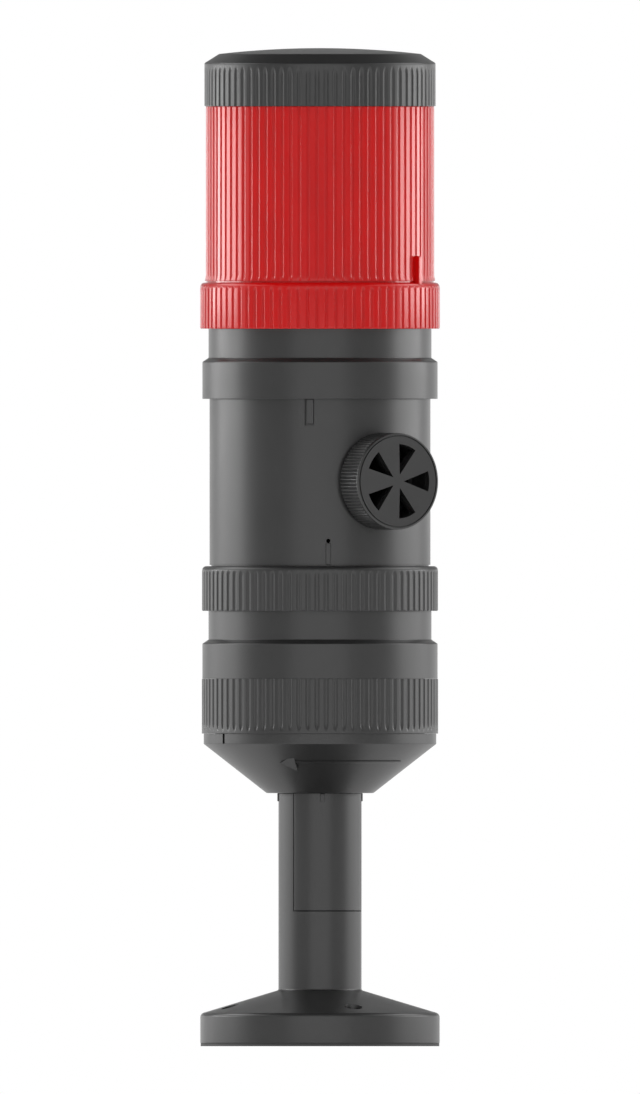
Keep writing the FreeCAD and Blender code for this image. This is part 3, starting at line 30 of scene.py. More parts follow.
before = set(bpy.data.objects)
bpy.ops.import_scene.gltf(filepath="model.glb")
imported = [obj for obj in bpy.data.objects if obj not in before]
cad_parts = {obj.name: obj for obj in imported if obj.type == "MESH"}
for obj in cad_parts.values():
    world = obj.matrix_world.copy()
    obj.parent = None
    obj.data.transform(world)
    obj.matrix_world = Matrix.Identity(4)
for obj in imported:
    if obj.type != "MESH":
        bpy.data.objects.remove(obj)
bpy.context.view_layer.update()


# The studio: a white sweep round the tower. Each side has a soft box, a bright strip level with the
# lens and a raised box, and weak fills stand in front. Grey cards before and behind and a dark one
# above keep black plastic dark. The view is level and shows no perspective.

PICTURE_HEIGHT = 0.31995
PICTURE_MIDDLE = 0.14599
CAMERA_DISTANCE = 1.0
WORLD_FILL = 0.86
LAMP_TARGET = 0.14


def linear(code):
    """The linear colour of an sRGB hex code."""
    parts = [int(code[place:place + 2], 16) / 255 for place in (1, 3, 5)]
    return [part / 12.92 if part <= 0.04045 else ((part + 0.055) / 1.055) ** 2.4 for part in parts] + [1.0]


def add_node(material, kind, values=None, links=None, **settings):
    """Add a node with its settings, the values of its inputs and the links that feed them."""
    node = material.node_tree.nodes.new(kind)
    for name, value in settings.items():
        setattr(node, name, value)
    for name, value in (values or {}).items():
        node.inputs[name].default_value = value
    for name, source in (links or {}).items():
        material.node_tree.links.new(source, node.inputs[name])
    return node


camera_data = bpy.data.cameras.new("camera")
camera_data.type = "ORTHO"
camera_data.ortho_scale = PICTURE_HEIGHT
camera = bpy.data.objects.new("camera", camera_data)
camera.location = (0, -CAMERA_DISTANCE, PICTURE_MIDDLE)
camera.rotation_euler = (math.radians(90), 0, 0)
bpy.context.scene.collection.objects.link(camera)
bpy.context.scene.camera = camera
bpy.context.scene.view_settings.view_transform = "Standard"

world = bpy.data.worlds.new("white_sweep")
world.use_nodes = True
world.node_tree.nodes.clear()
# The sweep looks white to the camera, in gloss and through plastic, and lights things a little less
rays = add_node(world, "ShaderNodeLightPath")
seen_or_gloss = add_node(world, "ShaderNodeMath", operation="MAXIMUM",
                         links={0: rays.outputs["Is Camera Ray"], 1: rays.outputs["Is Glossy Ray"]})
seen = add_node(world, "ShaderNodeMath", operation="MAXIMUM",
                links={0: seen_or_gloss.outputs[0], 1: rays.outputs["Is Transmission Ray"]})
fill = add_node(world, "ShaderNodeBackground", {"Color": linear("#FFFFFF"), "Strength": WORLD_FILL})
backdrop = add_node(world, "ShaderNodeBackground", {"Color": linear("#FFFFFF"), "Strength": 1.0})
both = add_node(world, "ShaderNodeMixShader",
                links={0: seen.outputs[0], 1: fill.outputs[0], 2: backdrop.outputs[0]})
add_node(world, "ShaderNodeOutputWorld", links={"Surface": both.outputs[0]})
bpy.context.scene.world = world


def new_material(name):
    """A material with an empty node tree."""
    material = bpy.data.materials.new(name)
    material.use_nodes = True
    material.node_tree.nodes.clear()
    return material


def plain_material(name, code, roughness):
    """A matt studio surface."""
    material = new_material(name)
    shader = add_node(material, "ShaderNodeBsdfPrincipled",
                      {"Base Color": linear(code), "Roughness": roughness, "Specular IOR Level": 0.2})
    add_node(material, "ShaderNodeOutputMaterial", links={"Surface": shader.outputs[0]})
    return material


def card(name, centre, facing, width, depth, material):
    """A studio card, in metres, that faces a direction."""
    bm = bmesh.new()
    bmesh.ops.create_grid(bm, x_segments=1, y_segments=1, size=0.5)
    bmesh.ops.scale(bm, vec=(width, depth, 1), verts=bm.verts)
    turn = Vector(facing).to_track_quat("Z", "Y").to_matrix().to_4x4()
    bmesh.ops.transform(bm, matrix=Matrix.Translation(centre) @ turn, verts=bm.verts)
    mesh = bpy.data.meshes.new(name)
    bm.to_mesh(mesh)
    bm.free()
    mesh.materials.append(material)
    piece = bpy.data.objects.new(name, mesh)
    bpy.context.scene.collection.objects.link(piece)
    return piece


white_paper = plain_material("matt_white_paper_sweep", "#EDEDED", 0.9)
dark_card = plain_material("matt_dark_card", "#505050", 0.9)
grey_card = plain_material("matt_grey_card", "#B0B0B0", 0.9)
card("floor", (0, 0, -0.0003), (0, 0, 1), 6.0, 6.0, white_paper)
for name, centre, facing, width, depth, paper in (
        ("card_front", (0, -1.7, 0.3), (0, 1, 0), 12.0, 5.0, grey_card),
        ("card_above", (0, 0, 1.3), (0, 0, -1), 1.9, 2.4, dark_card),
        ("card_back", (0, 3.0, 1.7), (0, -1, 0), 7.0, 2.5, grey_card),
        ("card_high", (0, 1.3, 1.2), (0, -1, -1), 2.6, 0.5, grey_card)):
    screen = card(name, centre, facing, width, depth, paper)
    screen.visible_camera = False
    screen.visible_diffuse = False
    screen.visible_shadow = False


def soft_box(name, angle, distance, level, width, height, power):
    """A rectangular soft box at an angle from the front, a distance and a height, in metres. It
    faces the tower."""
    place = (distance * math.sin(math.radians(angle)), -distance * math.cos(math.radians(angle)), level)
    data = bpy.data.lights.new(name, "AREA")
    data.shape = "RECTANGLE"
    data.size = width
    data.size_y = height
    data.energy = power
    lamp = bpy.data.objects.new(name, data)
    lamp.location = place
    lamp.rotation_euler = (Vector((0, 0, LAMP_TARGET)) - Vector(place)).to_track_quat("-Z", "Y").to_euler()
    bpy.context.scene.collection.objects.link(lamp)


soft_box("soft_box_left", -110, 1.0, 0.18, 0.90, 0.36, 0.5)
soft_box("soft_box_right", 107, 1.0, 0.18, 0.85, 0.36, 0.42)
soft_box("strip_left", -108, 1.0, 0.245, 0.80, 0.07, 0.88)
soft_box("strip_right", 104, 1.0, 0.245, 0.78, 0.07, 0.78)
soft_box("high_box_left", -115, 1.1, 1.0, 0.90, 0.50, 2.3)
soft_box("high_box_right", 115, 1.1, 1.0, 0.90, 0.50, 2.1)
soft_box("fill_low", 0, 1.5, 0.095, 1.60, 0.19, 0.68)
soft_box("fill_high", 0, 1.5, 0.405, 1.60, 0.19, 0.68)


# Foot and tube: one injection moulding of black ABS. A round foot with a conical top and four
# screw holes carries the tube, whose upper part has a window for the cable. The tool's face was
# spark-eroded, which leaves a fine even grain with a satin sheen.

def only_verts(items):
    """The points among the results of a bmesh operator."""
    return [item for item in items if isinstance(item, bmesh.types.BMVert)]


def turn_verts(part, angle, verts):
    """Turn points about the upright axis."""
    bmesh.ops.rotate(part, cent=(0, 0, 0), matrix=Matrix.Rotation(math.radians(angle), 3, "Z"), verts=verts)


def turn_outline(bm, corners, steps, first=0.0, sweep=360.0):
    """Turn a closed outline about the upright axis. A corner is its radius and height, and a
    third number bevels it by that length."""
    part = bmesh.new()
    verts = [part.verts.new((corner[0], 0, corner[1])) for corner in corners]
    part.faces.new(verts)
    for vert, corner in zip(verts, corners):
        if len(corner) == 3:
            bmesh.ops.bevel(part, geom=[vert], offset=corner[2], offset_type="OFFSET", affect="VERTICES",
                            segments=3, profile=0.5, material=-1)
    turn_verts(part, first - 90, part.verts)
    if sweep == 360.0:
        # An eighth is turned, and is then doubled three times
        bmesh.ops.delete(part, geom=part.faces[:], context="FACES_ONLY")
        bmesh.ops.spin(part, geom=part.verts[:] + part.edges[:], cent=(0, 0, 0), axis=(0, 0, 1),
                       angle=math.radians(45), steps=steps // 8, use_merge=False)
        for turn in (45, 90, 180):
            double = bmesh.ops.duplicate(part, geom=part.verts[:] + part.edges[:] + part.faces[:])
            turn_verts(part, turn, only_verts(double["geom"]))
    else:
        bmesh.ops.spin(part, geom=part.verts[:] + part.edges[:] + part.faces[:], cent=(0, 0, 0),
                       axis=(0, 0, 1), angle=math.radians(sweep), steps=steps, use_merge=False)
    bmesh.ops.remove_doubles(part, verts=part.verts, dist=0.0005)
    bmesh.ops.recalc_face_normals(part, faces=part.faces)
    join(bm, part)


def join(bm, part):
    """Put a finished bmesh into another one."""
    mesh = bpy.data.meshes.new("part")
    part.to_mesh(mesh)
    part.free()
    bm.from_mesh(mesh)
    bpy.data.meshes.remove(mesh)


def bevel_edges(part, edges, offset, segments=2):
    """Round edges by a length."""
    bmesh.ops.bevel(part, geom=edges, offset=offset, offset_type="OFFSET", affect="EDGES",
                    segments=segments, profile=0.5, material=-1)


def add_box(bm, turn, near, far, width, low, high, bevel=0.0):
    """A box on the wall: from one radius to another in a direction, with rounded edges."""
    part = bmesh.new()
    bmesh.ops.create_cube(part, size=1)
    bmesh.ops.scale(part, vec=(far - near, width, high - low), verts=part.verts)
    if bevel:
        bevel_edges(part, part.edges[:], bevel)
    bmesh.ops.translate(part, vec=((near + far) / 2, 0, (low + high) / 2), verts=part.verts)
    turn_verts(part, turn - 90, part.verts)
    join(bm, part)


def add_rod(bm, radius, low, high, matrix, segments=48):
    """A closed rod along its own Z axis, placed by a matrix."""
    part = bmesh.new()
    bmesh.ops.create_cone(part, cap_ends=True, segments=segments, radius1=radius, radius2=radius,
                          depth=high - low)
    bmesh.ops.translate(part, vec=(0, 0, (low + high) / 2), verts=part.verts)
    bmesh.ops.transform(part, matrix=matrix, verts=part.verts)
    join(bm, part)


def mark_sharp(mesh, sharp):
    """Shade smooth, apart from edges that bend by more than an angle."""
    bm = bmesh.new()
    bm.from_mesh(mesh)
    for face in bm.faces:
        face.smooth = True
    for edge in bm.edges:
        edge.smooth = len(edge.link_faces) == 2 and edge.calc_face_angle() < math.radians(sharp)
    bm.to_mesh(mesh)
    bm.free()


def weigh_normals(piece):
    """Let the large faces beside a small rounding keep their own direction in the shading."""
    weigh = piece.modifiers.new("weigh_normals", "WEIGHTED_NORMAL")
    weigh.keep_sharp = True


def make_piece(name, bm, material, sharp=32.0):
    """Make the object of a piece from its bmesh in millimetres."""
    bmesh.ops.scale(bm, vec=(0.001, 0.001, 0.001), verts=bm.verts)
    mesh = bpy.data.meshes.new(name)
    bm.to_mesh(mesh)
    bm.free()
    mark_sharp(mesh, sharp)
    piece = bpy.data.objects.new(name, mesh)
    bpy.context.scene.collection.objects.link(piece)
    if material:
        mesh.materials.append(material)
        weigh_normals(piece)
    return piece


def carve(piece, tools, operation="DIFFERENCE", sharp=32.0):
    """Cut closed shapes out of a piece, or fuse one with it."""
    cutter = make_piece("cutter", tools, None)
    piece.modifiers.clear()
    boolean = piece.modifiers.new("carve", "BOOLEAN")
    boolean.operation = operation
    boolean.solver = "EXACT"
    boolean.object = cutter
    depsgraph = bpy.context.evaluated_depsgraph_get()
    carved = bpy.data.meshes.new_from_object(piece.evaluated_get(depsgraph))
    piece.modifiers.clear()
    old = piece.data
    carved.name = piece.name
    piece.data = carved
    bpy.data.meshes.remove(old)
    bpy.data.objects.remove(cutter)
    mark_sharp(carved, sharp)
    weigh_normals(piece)


def upright(turn, radius):
    """The matrix of an upright tool at a radius in a direction."""
    return Matrix.Rotation(math.radians(turn - 90), 4, "Z") @ Matrix.Translation((radius, 0, 0))


def shade(code, factor):
    """A colour made lighter or darker."""
    return [part * factor for part in linear(code)[:3]] + [1.0]


def uneven_sheen(material, roughness, spread, pattern):
    """A roughness that follows a noise pattern up and down."""
    return add_node(material, "ShaderNodeMapRange",
                    {"From Min": 0.3, "From Max": 0.7,
                     "To Min": roughness - spread, "To Max": roughness + spread},
                    {"Value": pattern.outputs["Fac"]})


def moulded_plastic(name, code, roughness, grain_mm, grain_depth_mm, variation=0.06):
    """A moulded plastic with an eroded grain, faint flow clouds and a slightly uneven sheen."""
    material = new_material(name)
    place = add_node(material, "ShaderNodeTexCoord")
    # Flow clouds are some 25 mm wide, and the grain has the width that is given
    clouds = add_node(material, "ShaderNodeTexNoise", {"Scale": 1 / 0.025, "Detail": 3.0, "Roughness": 0.55},
                      {"Vector": place.outputs["Object"]})
    grain = add_node(material, "ShaderNodeTexNoise", {"Scale": 1000 / grain_mm, "Detail": 2.0},
                     {"Vector": place.outputs["Object"]})
    colour = add_node(material, "ShaderNodeMix",
                      {6: shade(code, 1 - variation), 7: shade(code, 1 + variation)},
                      {0: clouds.outputs["Fac"]}, data_type="RGBA")
    sheen = uneven_sheen(material, roughness, 0.03, clouds)
    bump = add_node(material, "ShaderNodeBump", {"Strength": 0.5, "Distance": grain_depth_mm / 1000},
                    {"Height": grain.outputs["Fac"]})
    shader = add_node(material, "ShaderNodeBsdfPrincipled", {"IOR": 1.53, "Specular IOR Level": 0.8},
                      {"Base Color": colour.outputs[2], "Roughness": sheen.outputs[0],
                       "Normal": bump.outputs[0]})
    add_node(material, "ShaderNodeOutputMaterial", links={"Surface": shader.outputs[0]})
    return material


black_abs = moulded_plastic("moulded_black_abs_spark_grain", "#222222", 0.31, 0.7, 0.008)

WALL_STEPS = 288
FOOT_RADIUS = 35.0
FOOT_FACE = 0.8
HOLE_ANGLE = 20.25
HOLE_CIRCLE = 28.0
HOLE_RADIUS = 2.65
TUBE_BORE = 10.15
TUBE_RADIUS = 12.15
TUBE_TOP = 74.0
SPIGOT_RADIUS = 11.4
SPIGOT_TOP = 88.0
WINDOW_ANGLE = 21.2
WINDOW_FOOT = 39.4
RIB_ANGLE = WINDOW_ANGLE - 17.8
RIB_SIZE = (11.7, 12.5, 1.2)
RIB_FOOT = 71.6


def add_window(bm, inner, steps, sweep):
    """The cable window as a closed tool, from a radius outwards past the tube's wall."""
    outer = 13.5
    head = TUBE_TOP + 0.001
    turn_outline(bm, [(inner, WINDOW_FOOT), (outer, WINDOW_FOOT), (outer, head), (inner, head)],
                 steps=steps, first=WINDOW_ANGLE - sweep / 2, sweep=sweep)


bm = bmesh.new()
turn_outline(bm, [
    (TUBE_BORE, FOOT_FACE, 0.3), (FOOT_RADIUS, FOOT_FACE, 0.25), (FOOT_RADIUS, 9.5, 0.95),
    (TUBE_RADIUS, 16.4, 0.35), (TUBE_RADIUS, TUBE_TOP, 0.15), (SPIGOT_RADIUS, TUBE_TOP),
    (SPIGOT_RADIUS, SPIGOT_TOP, 0.3), (TUBE_BORE, SPIGOT_TOP),
], steps=WALL_STEPS)
foot = make_piece("foot_and_tube", bm, black_abs)
tools = bmesh.new()
for hole in range(4):
    add_rod(tools, HOLE_RADIUS, 0.0, 20.0, upright(HOLE_ANGLE + 90 * hole, HOLE_CIRCLE))
add_window(tools, 9.0, 72, 120.0)
carve(foot, tools)
# The window's side edges are eased, which makes the seams beside the cover look wide and soft
tools = bmesh.new()
add_window(tools, 11.97, 76, 122.8)
carve(foot, tools)
bm = bmesh.new()
for rib in range(3):
    add_box(bm, RIB_ANGLE + 90 * (rib + 1), *RIB_SIZE, RIB_FOOT, TUBE_TOP, 0.2)
foot_ribs = make_piece("tube_top_ribs", bm, black_abs)
for piece in (foot, foot_ribs):
    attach(piece, "base")
    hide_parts("mounting_foot")


# Cover of the cable window: a curved snap-in strip of the same black ABS, with thin lips that
# lie behind the tube's wall. It leaves an upright seam at each side and a fine one below.

COVER_FOOT = 39.7
COVER_HEAD = 73.9
COVER_BORE = 9.15
LIP_RADIUS = 10.05


def add_strip(bm, outer, steps, sweep):
    """A curved strip over the window, as high as the cover."""
    turn_outline(bm, [
        (COVER_BORE, COVER_FOOT), (outer, COVER_FOOT), (outer, COVER_HEAD), (COVER_BORE, COVER_HEAD),
    ], steps=steps, first=WINDOW_ANGLE - sweep / 2, sweep=sweep)


bm = bmesh.new()
add_strip(bm, TUBE_RADIUS, 70, 119.6)
side_edges = [edge for edge in bm.edges
              if edge.calc_length() > 30 and edge.calc_face_angle() > math.radians(60)]
bevel_edges(bm, side_edges, 0.25, segments=3)
# The lips reach further round than the strip in front and lie inside the tube's bore
add_strip(bm, LIP_RADIUS, 82, 136.0)
add_box(bm, RIB_ANGLE, *RIB_SIZE, RIB_FOOT, COVER_HEAD, 0.2)
cover = make_piece("window_cover", bm, black_abs)
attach(cover, "base")
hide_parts("tube_cover")


# Adapter: an inverted cone of black ABS that sits on the tube's shoulder. An arrow stands out of
# its cone, a fine slot marks its band, and its neck carries the beads that keep the lock ring.

CONE_FOOT = (15.6, 74.0)
CONE_HEAD = (34.0, 88.4)
CONE_SLOPE = (CONE_HEAD[1] - CONE_FOOT[1]) / (CONE_HEAD[0] - CONE_FOOT[0])
SLOT_MARK_ANGLE = -56.0
ARROW_HEIGHT = 83.0
ARROW_RADIUS = CONE_FOOT[0] + (ARROW_HEIGHT - CONE_FOOT[1]) / CONE_SLOPE
ARROW_POINT = -15.1
ARROW_HALF_LENGTH = 2.4
ARROW_HALF_WIDTH = 2.95
ARROW_ROOT = 0.5
ARROW_PROUD = 0.42
SHAFT_START = -15.6
SHAFT_SWEEP = 74.6
SHAFT_HALF_WIDTH = 0.5
SHAFT_ROOT = 0.3
SHAFT_PROUD = 0.2


def raised_face(spots, height):
    """A closed solid: a flat outline raised by a height."""
    part = bmesh.new()
    part.faces.new([part.verts.new(spot) for spot in spots])
    raised = bmesh.ops.extrude_face_region(part, geom=part.faces[:])
    bmesh.ops.translate(part, vec=(0, 0, height), verts=only_verts(raised["geom"]))
    bmesh.ops.recalc_face_normals(part, faces=part.faces)
    return part


bm = bmesh.new()
turn_outline(bm, [
    (11.5, 75.2), (13.0, 75.2), (13.0, TUBE_TOP), (*CONE_FOOT, 0.35), (*CONE_HEAD, 0.12),
    (CONE_HEAD[0], 91.4, 0.05), (30.6, 91.4), (30.6, 99.0, 0.2), (28.4, 99.0, 0.2), (28.4, 87.06),
    (13.5, 75.41), (13.5, 84.0), (11.5, 84.0),
], steps=WALL_STEPS)
cone = make_piece("adapter_cone_shell", bm, black_abs)
tools = bmesh.new()
add_box(tools, SLOT_MARK_ANGLE, 33.2, 35.0, 1.05, 88.5, 91.6)
carve(cone, tools)
bm = bmesh.new()
for bead in range(3):
    turn_outline(bm, [(30.1, 93.8), (32.3, 93.8, 0.4), (32.3, 95.6, 0.4), (30.1, 95.6)],
                 steps=16, first=120 * bead - 15, sweep=30.0)
# Arrow shaft: a bar one millimetre wide along the cone, turned round the tower
half_rise = SHAFT_HALF_WIDTH * CONE_SLOPE / math.hypot(1, CONE_SLOPE)
reach = half_rise / CONE_SLOPE
proud = SHAFT_PROUD * math.hypot(1, CONE_SLOPE) / CONE_SLOPE
turn_outline(bm, [
    (ARROW_RADIUS - reach - SHAFT_ROOT, ARROW_HEIGHT - half_rise),
    (ARROW_RADIUS - reach + proud, ARROW_HEIGHT - half_rise, 0.08),
    (ARROW_RADIUS + reach + proud, ARROW_HEIGHT + half_rise, 0.08),
    (ARROW_RADIUS + reach - SHAFT_ROOT, ARROW_HEIGHT + half_rise),
], steps=60, first=SHAFT_START, sweep=SHAFT_SWEEP)
# Arrow head: a flat triangle that lies on the cone
part = raised_face([
    (ARROW_HALF_LENGTH, -ARROW_HALF_WIDTH, -ARROW_ROOT),
    (ARROW_HALF_LENGTH, ARROW_HALF_WIDTH, -ARROW_ROOT),
    (-ARROW_HALF_LENGTH, 0, -ARROW_ROOT),
], ARROW_ROOT + ARROW_PROUD)
bevel_edges(part, part.edges[:], 0.1)
arrow_turn = ARROW_POINT - math.degrees(ARROW_HALF_LENGTH / ARROW_RADIUS)
arrow_place = upright(arrow_turn, ARROW_RADIUS) @ Matrix.Translation((0, 0, ARROW_HEIGHT))
sideways = Matrix.Rotation(math.radians(90), 4, "Z")
lean = Matrix.Rotation(math.radians(90) + math.atan(CONE_SLOPE), 4, "X")
bmesh.ops.transform(part, matrix=arrow_place @ sideways @ lean, verts=part.verts)
join(bm, part)
cone_marks = make_piece("adapter_arrow_and_beads", bm, black_abs)
for piece in (cone, cone_marks):
    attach(piece, "base")
    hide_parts("adapter_cone")


# Lock ring: black ABS with a coarse grip of eighty grooves. Each groove is open at the top and
# runs out in a rounded end above the plain lower band. Three lugs inside pull the tower down.

KNURL_COUNT = 80
KNURL_PHASE = 3.05
KNURL_STEPS = 1280
KNURL_WIDTH = 1.6
KNURL_FLANK = 0.7
LOCK_RADIUS = 34.55
RING_RADIUS = 34.4
NECK_RADIUS = 32.6
LUG_SWEEP = 24.0


def press_grooves(bm, radius, low, high, depth, width, run_out, flank=1.0, count=KNURL_COUNT,
                  phase=KNURL_PHASE, centre=90.0):
    """Press upright grooves into the outside of a turned shape. Each one has sloping flanks, which
    take a share of its half width, and a rounded end that runs out over a length."""
    pitch = 2 * math.pi / count
    for vert in bm.verts:
        out = math.hypot(vert.co.x, vert.co.y)
        if out < radius - depth:
            continue
        angle = math.atan2(vert.co.y, vert.co.x) - math.radians(phase - centre)
        across = math.remainder(angle, pitch) * radius
        along = max(low - vert.co.z, vert.co.z - high, 0)
        nearness = 1 - math.hypot(across / (width / 2), along / run_out)
        if nearness <= 0:
            continue
        share = min(1.0, nearness / flank)
        floor_radius = radius - depth * share * share * (3 - 2 * share)
        if out > floor_radius:
            vert.co.x *= floor_radius / out
            vert.co.y *= floor_radius / out


def rows(radius, low, high, step):
    """Outline points up a wall, close enough to show how a groove ends."""
    count = round(abs(high - low) / step)
    return [(radius, low + (high - low) * row / count) for row in range(count + 1)]


def add_lugs(bm, inner, outer, low, high):
    """Three evenly spaced bayonet lugs."""
    for lug in range(3):
        turn_outline(bm, [(inner, low), (outer, low, 0.2), (outer, high, 0.2), (inner, high)],
                     steps=10, first=120 * lug - LUG_SWEEP / 2, sweep=LUG_SWEEP)


bm = bmesh.new()
turn_outline(bm, [
    (30.9, 91.43), (LOCK_RADIUS, 91.43, 0.06), *rows(LOCK_RADIUS, 91.7, 95.2, 0.25),
    (LOCK_RADIUS, 107.42, 0.05), (NECK_RADIUS, 107.42), (NECK_RADIUS, 93.6), (30.9, 93.6),
], steps=KNURL_STEPS, first=KNURL_PHASE)
press_grooves(bm, LOCK_RADIUS, 94.6, 120.0, 0.33, KNURL_WIDTH, 2.7, KNURL_FLANK)
add_lugs(bm, 30.9, 33.1, 102.6, 104.7)
lock = make_piece("lock_ring_knurled", bm, black_abs, sharp=50.0)
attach(lock, "lock_ring")
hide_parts("lock_ring")


# Terminal housing: black ABS. A plain ring with a chamfer shows above the lock ring, and its neck
# plugs into the siren above. A deck inside carries the terminal board.


def neck(ring_top, seal_foot, seal_head, top):
    """Outline of a ring's chamfer and the neck on it, with the groove that holds its ring seal."""
    return [
        (RING_RADIUS, ring_top, 0.2), (NECK_RADIUS, ring_top + 1.2, 0.1), (NECK_RADIUS, seal_foot),
        (31.4, seal_foot), (31.4, seal_head), (NECK_RADIUS, seal_head), (NECK_RADIUS, top, 0.3),
        (29.9, top, 0.2),
    ]


bm = bmesh.new()
turn_outline(bm, [
    (28.4, 99.9), (30.6, 99.9, 0.2), (30.6, 107.45), (RING_RADIUS, 107.45, 0.06),
    *neck(117.7, 130.3, 132.3, 136.0),
    (29.9, 112.5), (9.5, 112.5), (9.5, 110.0), (28.4, 110.0),
], steps=WALL_STEPS)
add_lugs(bm, 30.1, 32.3, 100.3, 102.4)
add_lugs(bm, 28.3, 30.4, 132.3, 134.4)
terminal = make_piece("terminal_housing_shell", bm, black_abs)
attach(terminal, "base")
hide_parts("terminal_housing")


# Siren skirt: black ABS, the grip of the siren's bayonet. Its grooves are open below and run out
# under the rounded top edge. It holds the floor, the spigot and the rim that centres the body.

SKIRT_RADIUS = 34.5

bm = bmesh.new()
turn_outline(bm, [
    (9.5, 136.3), (26.0, 136.3), (26.0, 128.3), (28.0, 128.3, 0.2), (28.0, 136.3), (32.9, 136.3),
    (32.9, 127.3), (SKIRT_RADIUS, 127.3, 0.35), (SKIRT_RADIUS, 136.6),
    *rows(SKIRT_RADIUS, 137.0, 139.0, 0.2), (SKIRT_RADIUS, 140.4, 1.2), (30.0, 140.4),
    (30.0, 146.4, 0.2), (28.0, 146.4, 0.2), (28.0, 138.3), (9.5, 138.3),
], steps=KNURL_STEPS, first=KNURL_PHASE)
press_grooves(bm, SKIRT_RADIUS, 100.0, 137.9, 0.35, KNURL_WIDTH, 1.3, KNURL_FLANK)
add_lugs(bm, 27.5, 29.6, 129.9, 132.0)
skirt = make_piece("siren_skirt_knurled", bm, black_abs, sharp=50.0)
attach(skirt, "siren")
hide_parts("siren_base")


# Siren body: a smooth black ABS drum. A shadow groove parts it from the skirt, a raised tab and a
# raised rib mark how it is put together, and a boss carries the volume knob.

OUTLET_ANGLE = 33.2
OUTLET_HEIGHT = 165.2
OUTLET_BORE = 11.0
BOSS_RADIUS = 12.6
BOSS_FACE = 37.9
BODY_RADIUS = 32.3
BODY_TOP = 189.3
POINTER_ANGLE = 4.3
outlet_side = math.radians(OUTLET_ANGLE)
outlet_place = Matrix((
    (math.cos(outlet_side), 0, math.sin(outlet_side), 0),
    (math.sin(outlet_side), 0, -math.cos(outlet_side), 0),
    (0, 1, 0, OUTLET_HEIGHT),
    (0, 0, 0, 1),
))

# The wall has extra rings of points beside the marks and the boss, which keeps its shading even
wall_rings = [(BODY_RADIUS, height) for height in (147.0, 148.6, 151.0, 179.5, 181.6, BODY_TOP)]
bm = bmesh.new()
turn_outline(bm, [
    (30.1, 140.4), (31.8, 140.4), (31.8, 140.75), (BODY_RADIUS, 140.75, 0.05), *wall_rings, (30.1, BODY_TOP),
], steps=360)
siren = make_piece("siren_body", bm, black_abs)
boss = bmesh.new()
add_rod(boss, BOSS_RADIUS, 20.0, BOSS_FACE, outlet_place, segments=96)
carve(siren, boss, "UNION")
tools = bmesh.new()
add_rod(tools, OUTLET_BORE, 10.0, 45.0, outlet_place, segments=96)
turn_outline(tools, [(0, 141.5), (30.05, 141.5), (30.05, 188.5), (0, 188.5)], steps=144)
# A sight hole lies above the pointer's rib, and a fine slit runs round the tab
sight_hole = Matrix.Rotation(math.radians(POINTER_ANGLE), 4, "Z") @ Matrix.Rotation(math.radians(90), 4, "X")
add_rod(tools, 0.62, 29.0, 33.5, Matrix.Translation((0, 0, 147.8)) @ sight_hole, segments=24)
add_box(tools, -5.5, 30.9, 33.5, 2.75, 181.55, 189.35)
carve(siren, tools)
bm = bmesh.new()
add_box(bm, -5.2, 30.5, 32.45, 2.1, 182.2, 189.25, 0.15)
add_box(bm, POINTER_ANGLE, 31.2, 32.75, 1.5, 140.8, 147.2, 0.3)
siren_marks = make_piece("siren_marks", bm, black_abs)
for piece in (siren, siren_marks):
    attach(piece, "siren")
    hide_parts("siren_housing")


# Volume knob and the fixed disc behind it: black ABS. The knob's five wedge openings pass over
# those of the disc, which throttles the sound. Eighty-four fine grooves give it grip.

KNOB_GROOVES = 84
KNOB_RADIUS = 14.15
KNOB_FACE = 41.7
STEM_RADIUS = 1.3
STEM_BORE = 1.38
WEDGE_APEX = 2.0
WEDGE_END = 10.9
WEDGE_HALF_ANGLE = math.radians(15.9)


def add_wedges(bm, low, high):
    """The five wedge openings as closed tools along the outlet's axis."""
    spots = [(WEDGE_APEX, 0, low)]
    for step in range(-4, 5):
        turn = WEDGE_HALF_ANGLE * step / 4
        spots.append((WEDGE_END * math.cos(turn), WEDGE_END * math.sin(turn), low))
    for wedge in range(5):
        part = raised_face(spots, high - low)
        turn_verts(part, 72 * wedge, part.verts)
        join(bm, part)


# A fine ring groove is turned into the knob's face just inside its rim
bm = bmesh.new()
turn_outline(bm, [
    (0, 36.3), (STEM_RADIUS, 36.3, 0.2), (STEM_RADIUS, 40.0), (12.9, 40.0), (12.9, 32.6),
    (KNOB_RADIUS, 32.6, 0.15), *rows(KNOB_RADIUS, 39.6, 41.0, 0.2), (KNOB_RADIUS, KNOB_FACE, 0.35),
    (13.5, KNOB_FACE), (13.42, 41.3), (13.22, 41.3), (13.14, KNOB_FACE), (0, KNOB_FACE),
], steps=KNOB_GROOVES * 8, first=90.0)
press_grooves(bm, KNOB_RADIUS, 20.0, 40.6, 0.42, 0.8, 0.5, count=KNOB_GROOVES, phase=0.0, centre=0.0)
bmesh.ops.transform(bm, matrix=outlet_place, verts=bm.verts)
knob = make_piece("volume_knob_knurled", bm, black_abs, sharp=40.0)
tools = bmesh.new()
add_wedges(tools, 39.5, 42.5)
bmesh.ops.transform(tools, matrix=outlet_place, verts=tools.verts)
carve(knob, tools, sharp=40.0)
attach(knob, "volume_knob")
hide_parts("volume_knob")

bm = bmesh.new()
turn_outline(bm, [
    (STEM_BORE, BOSS_FACE), (BOSS_RADIUS, BOSS_FACE), (BOSS_RADIUS, 39.7, 0.2), (STEM_BORE, 39.7),
], steps=96, first=90.0)
bmesh.ops.transform(bm, matrix=outlet_place, verts=bm.verts)
baffle = make_piece("outlet_disc", bm, black_abs)
tools = bmesh.new()
add_wedges(tools, 37.0, 41.0)
bmesh.ops.transform(tools, matrix=outlet_place, verts=tools.verts)
carve(baffle, tools)
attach(baffle, "siren")
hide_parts("outlet_baffle")


# Siren collar: the ring, chamfer and neck on top of the siren, moulded in black ABS. It plugs into
# the siren's body, and three lugs in its neck hold the light.

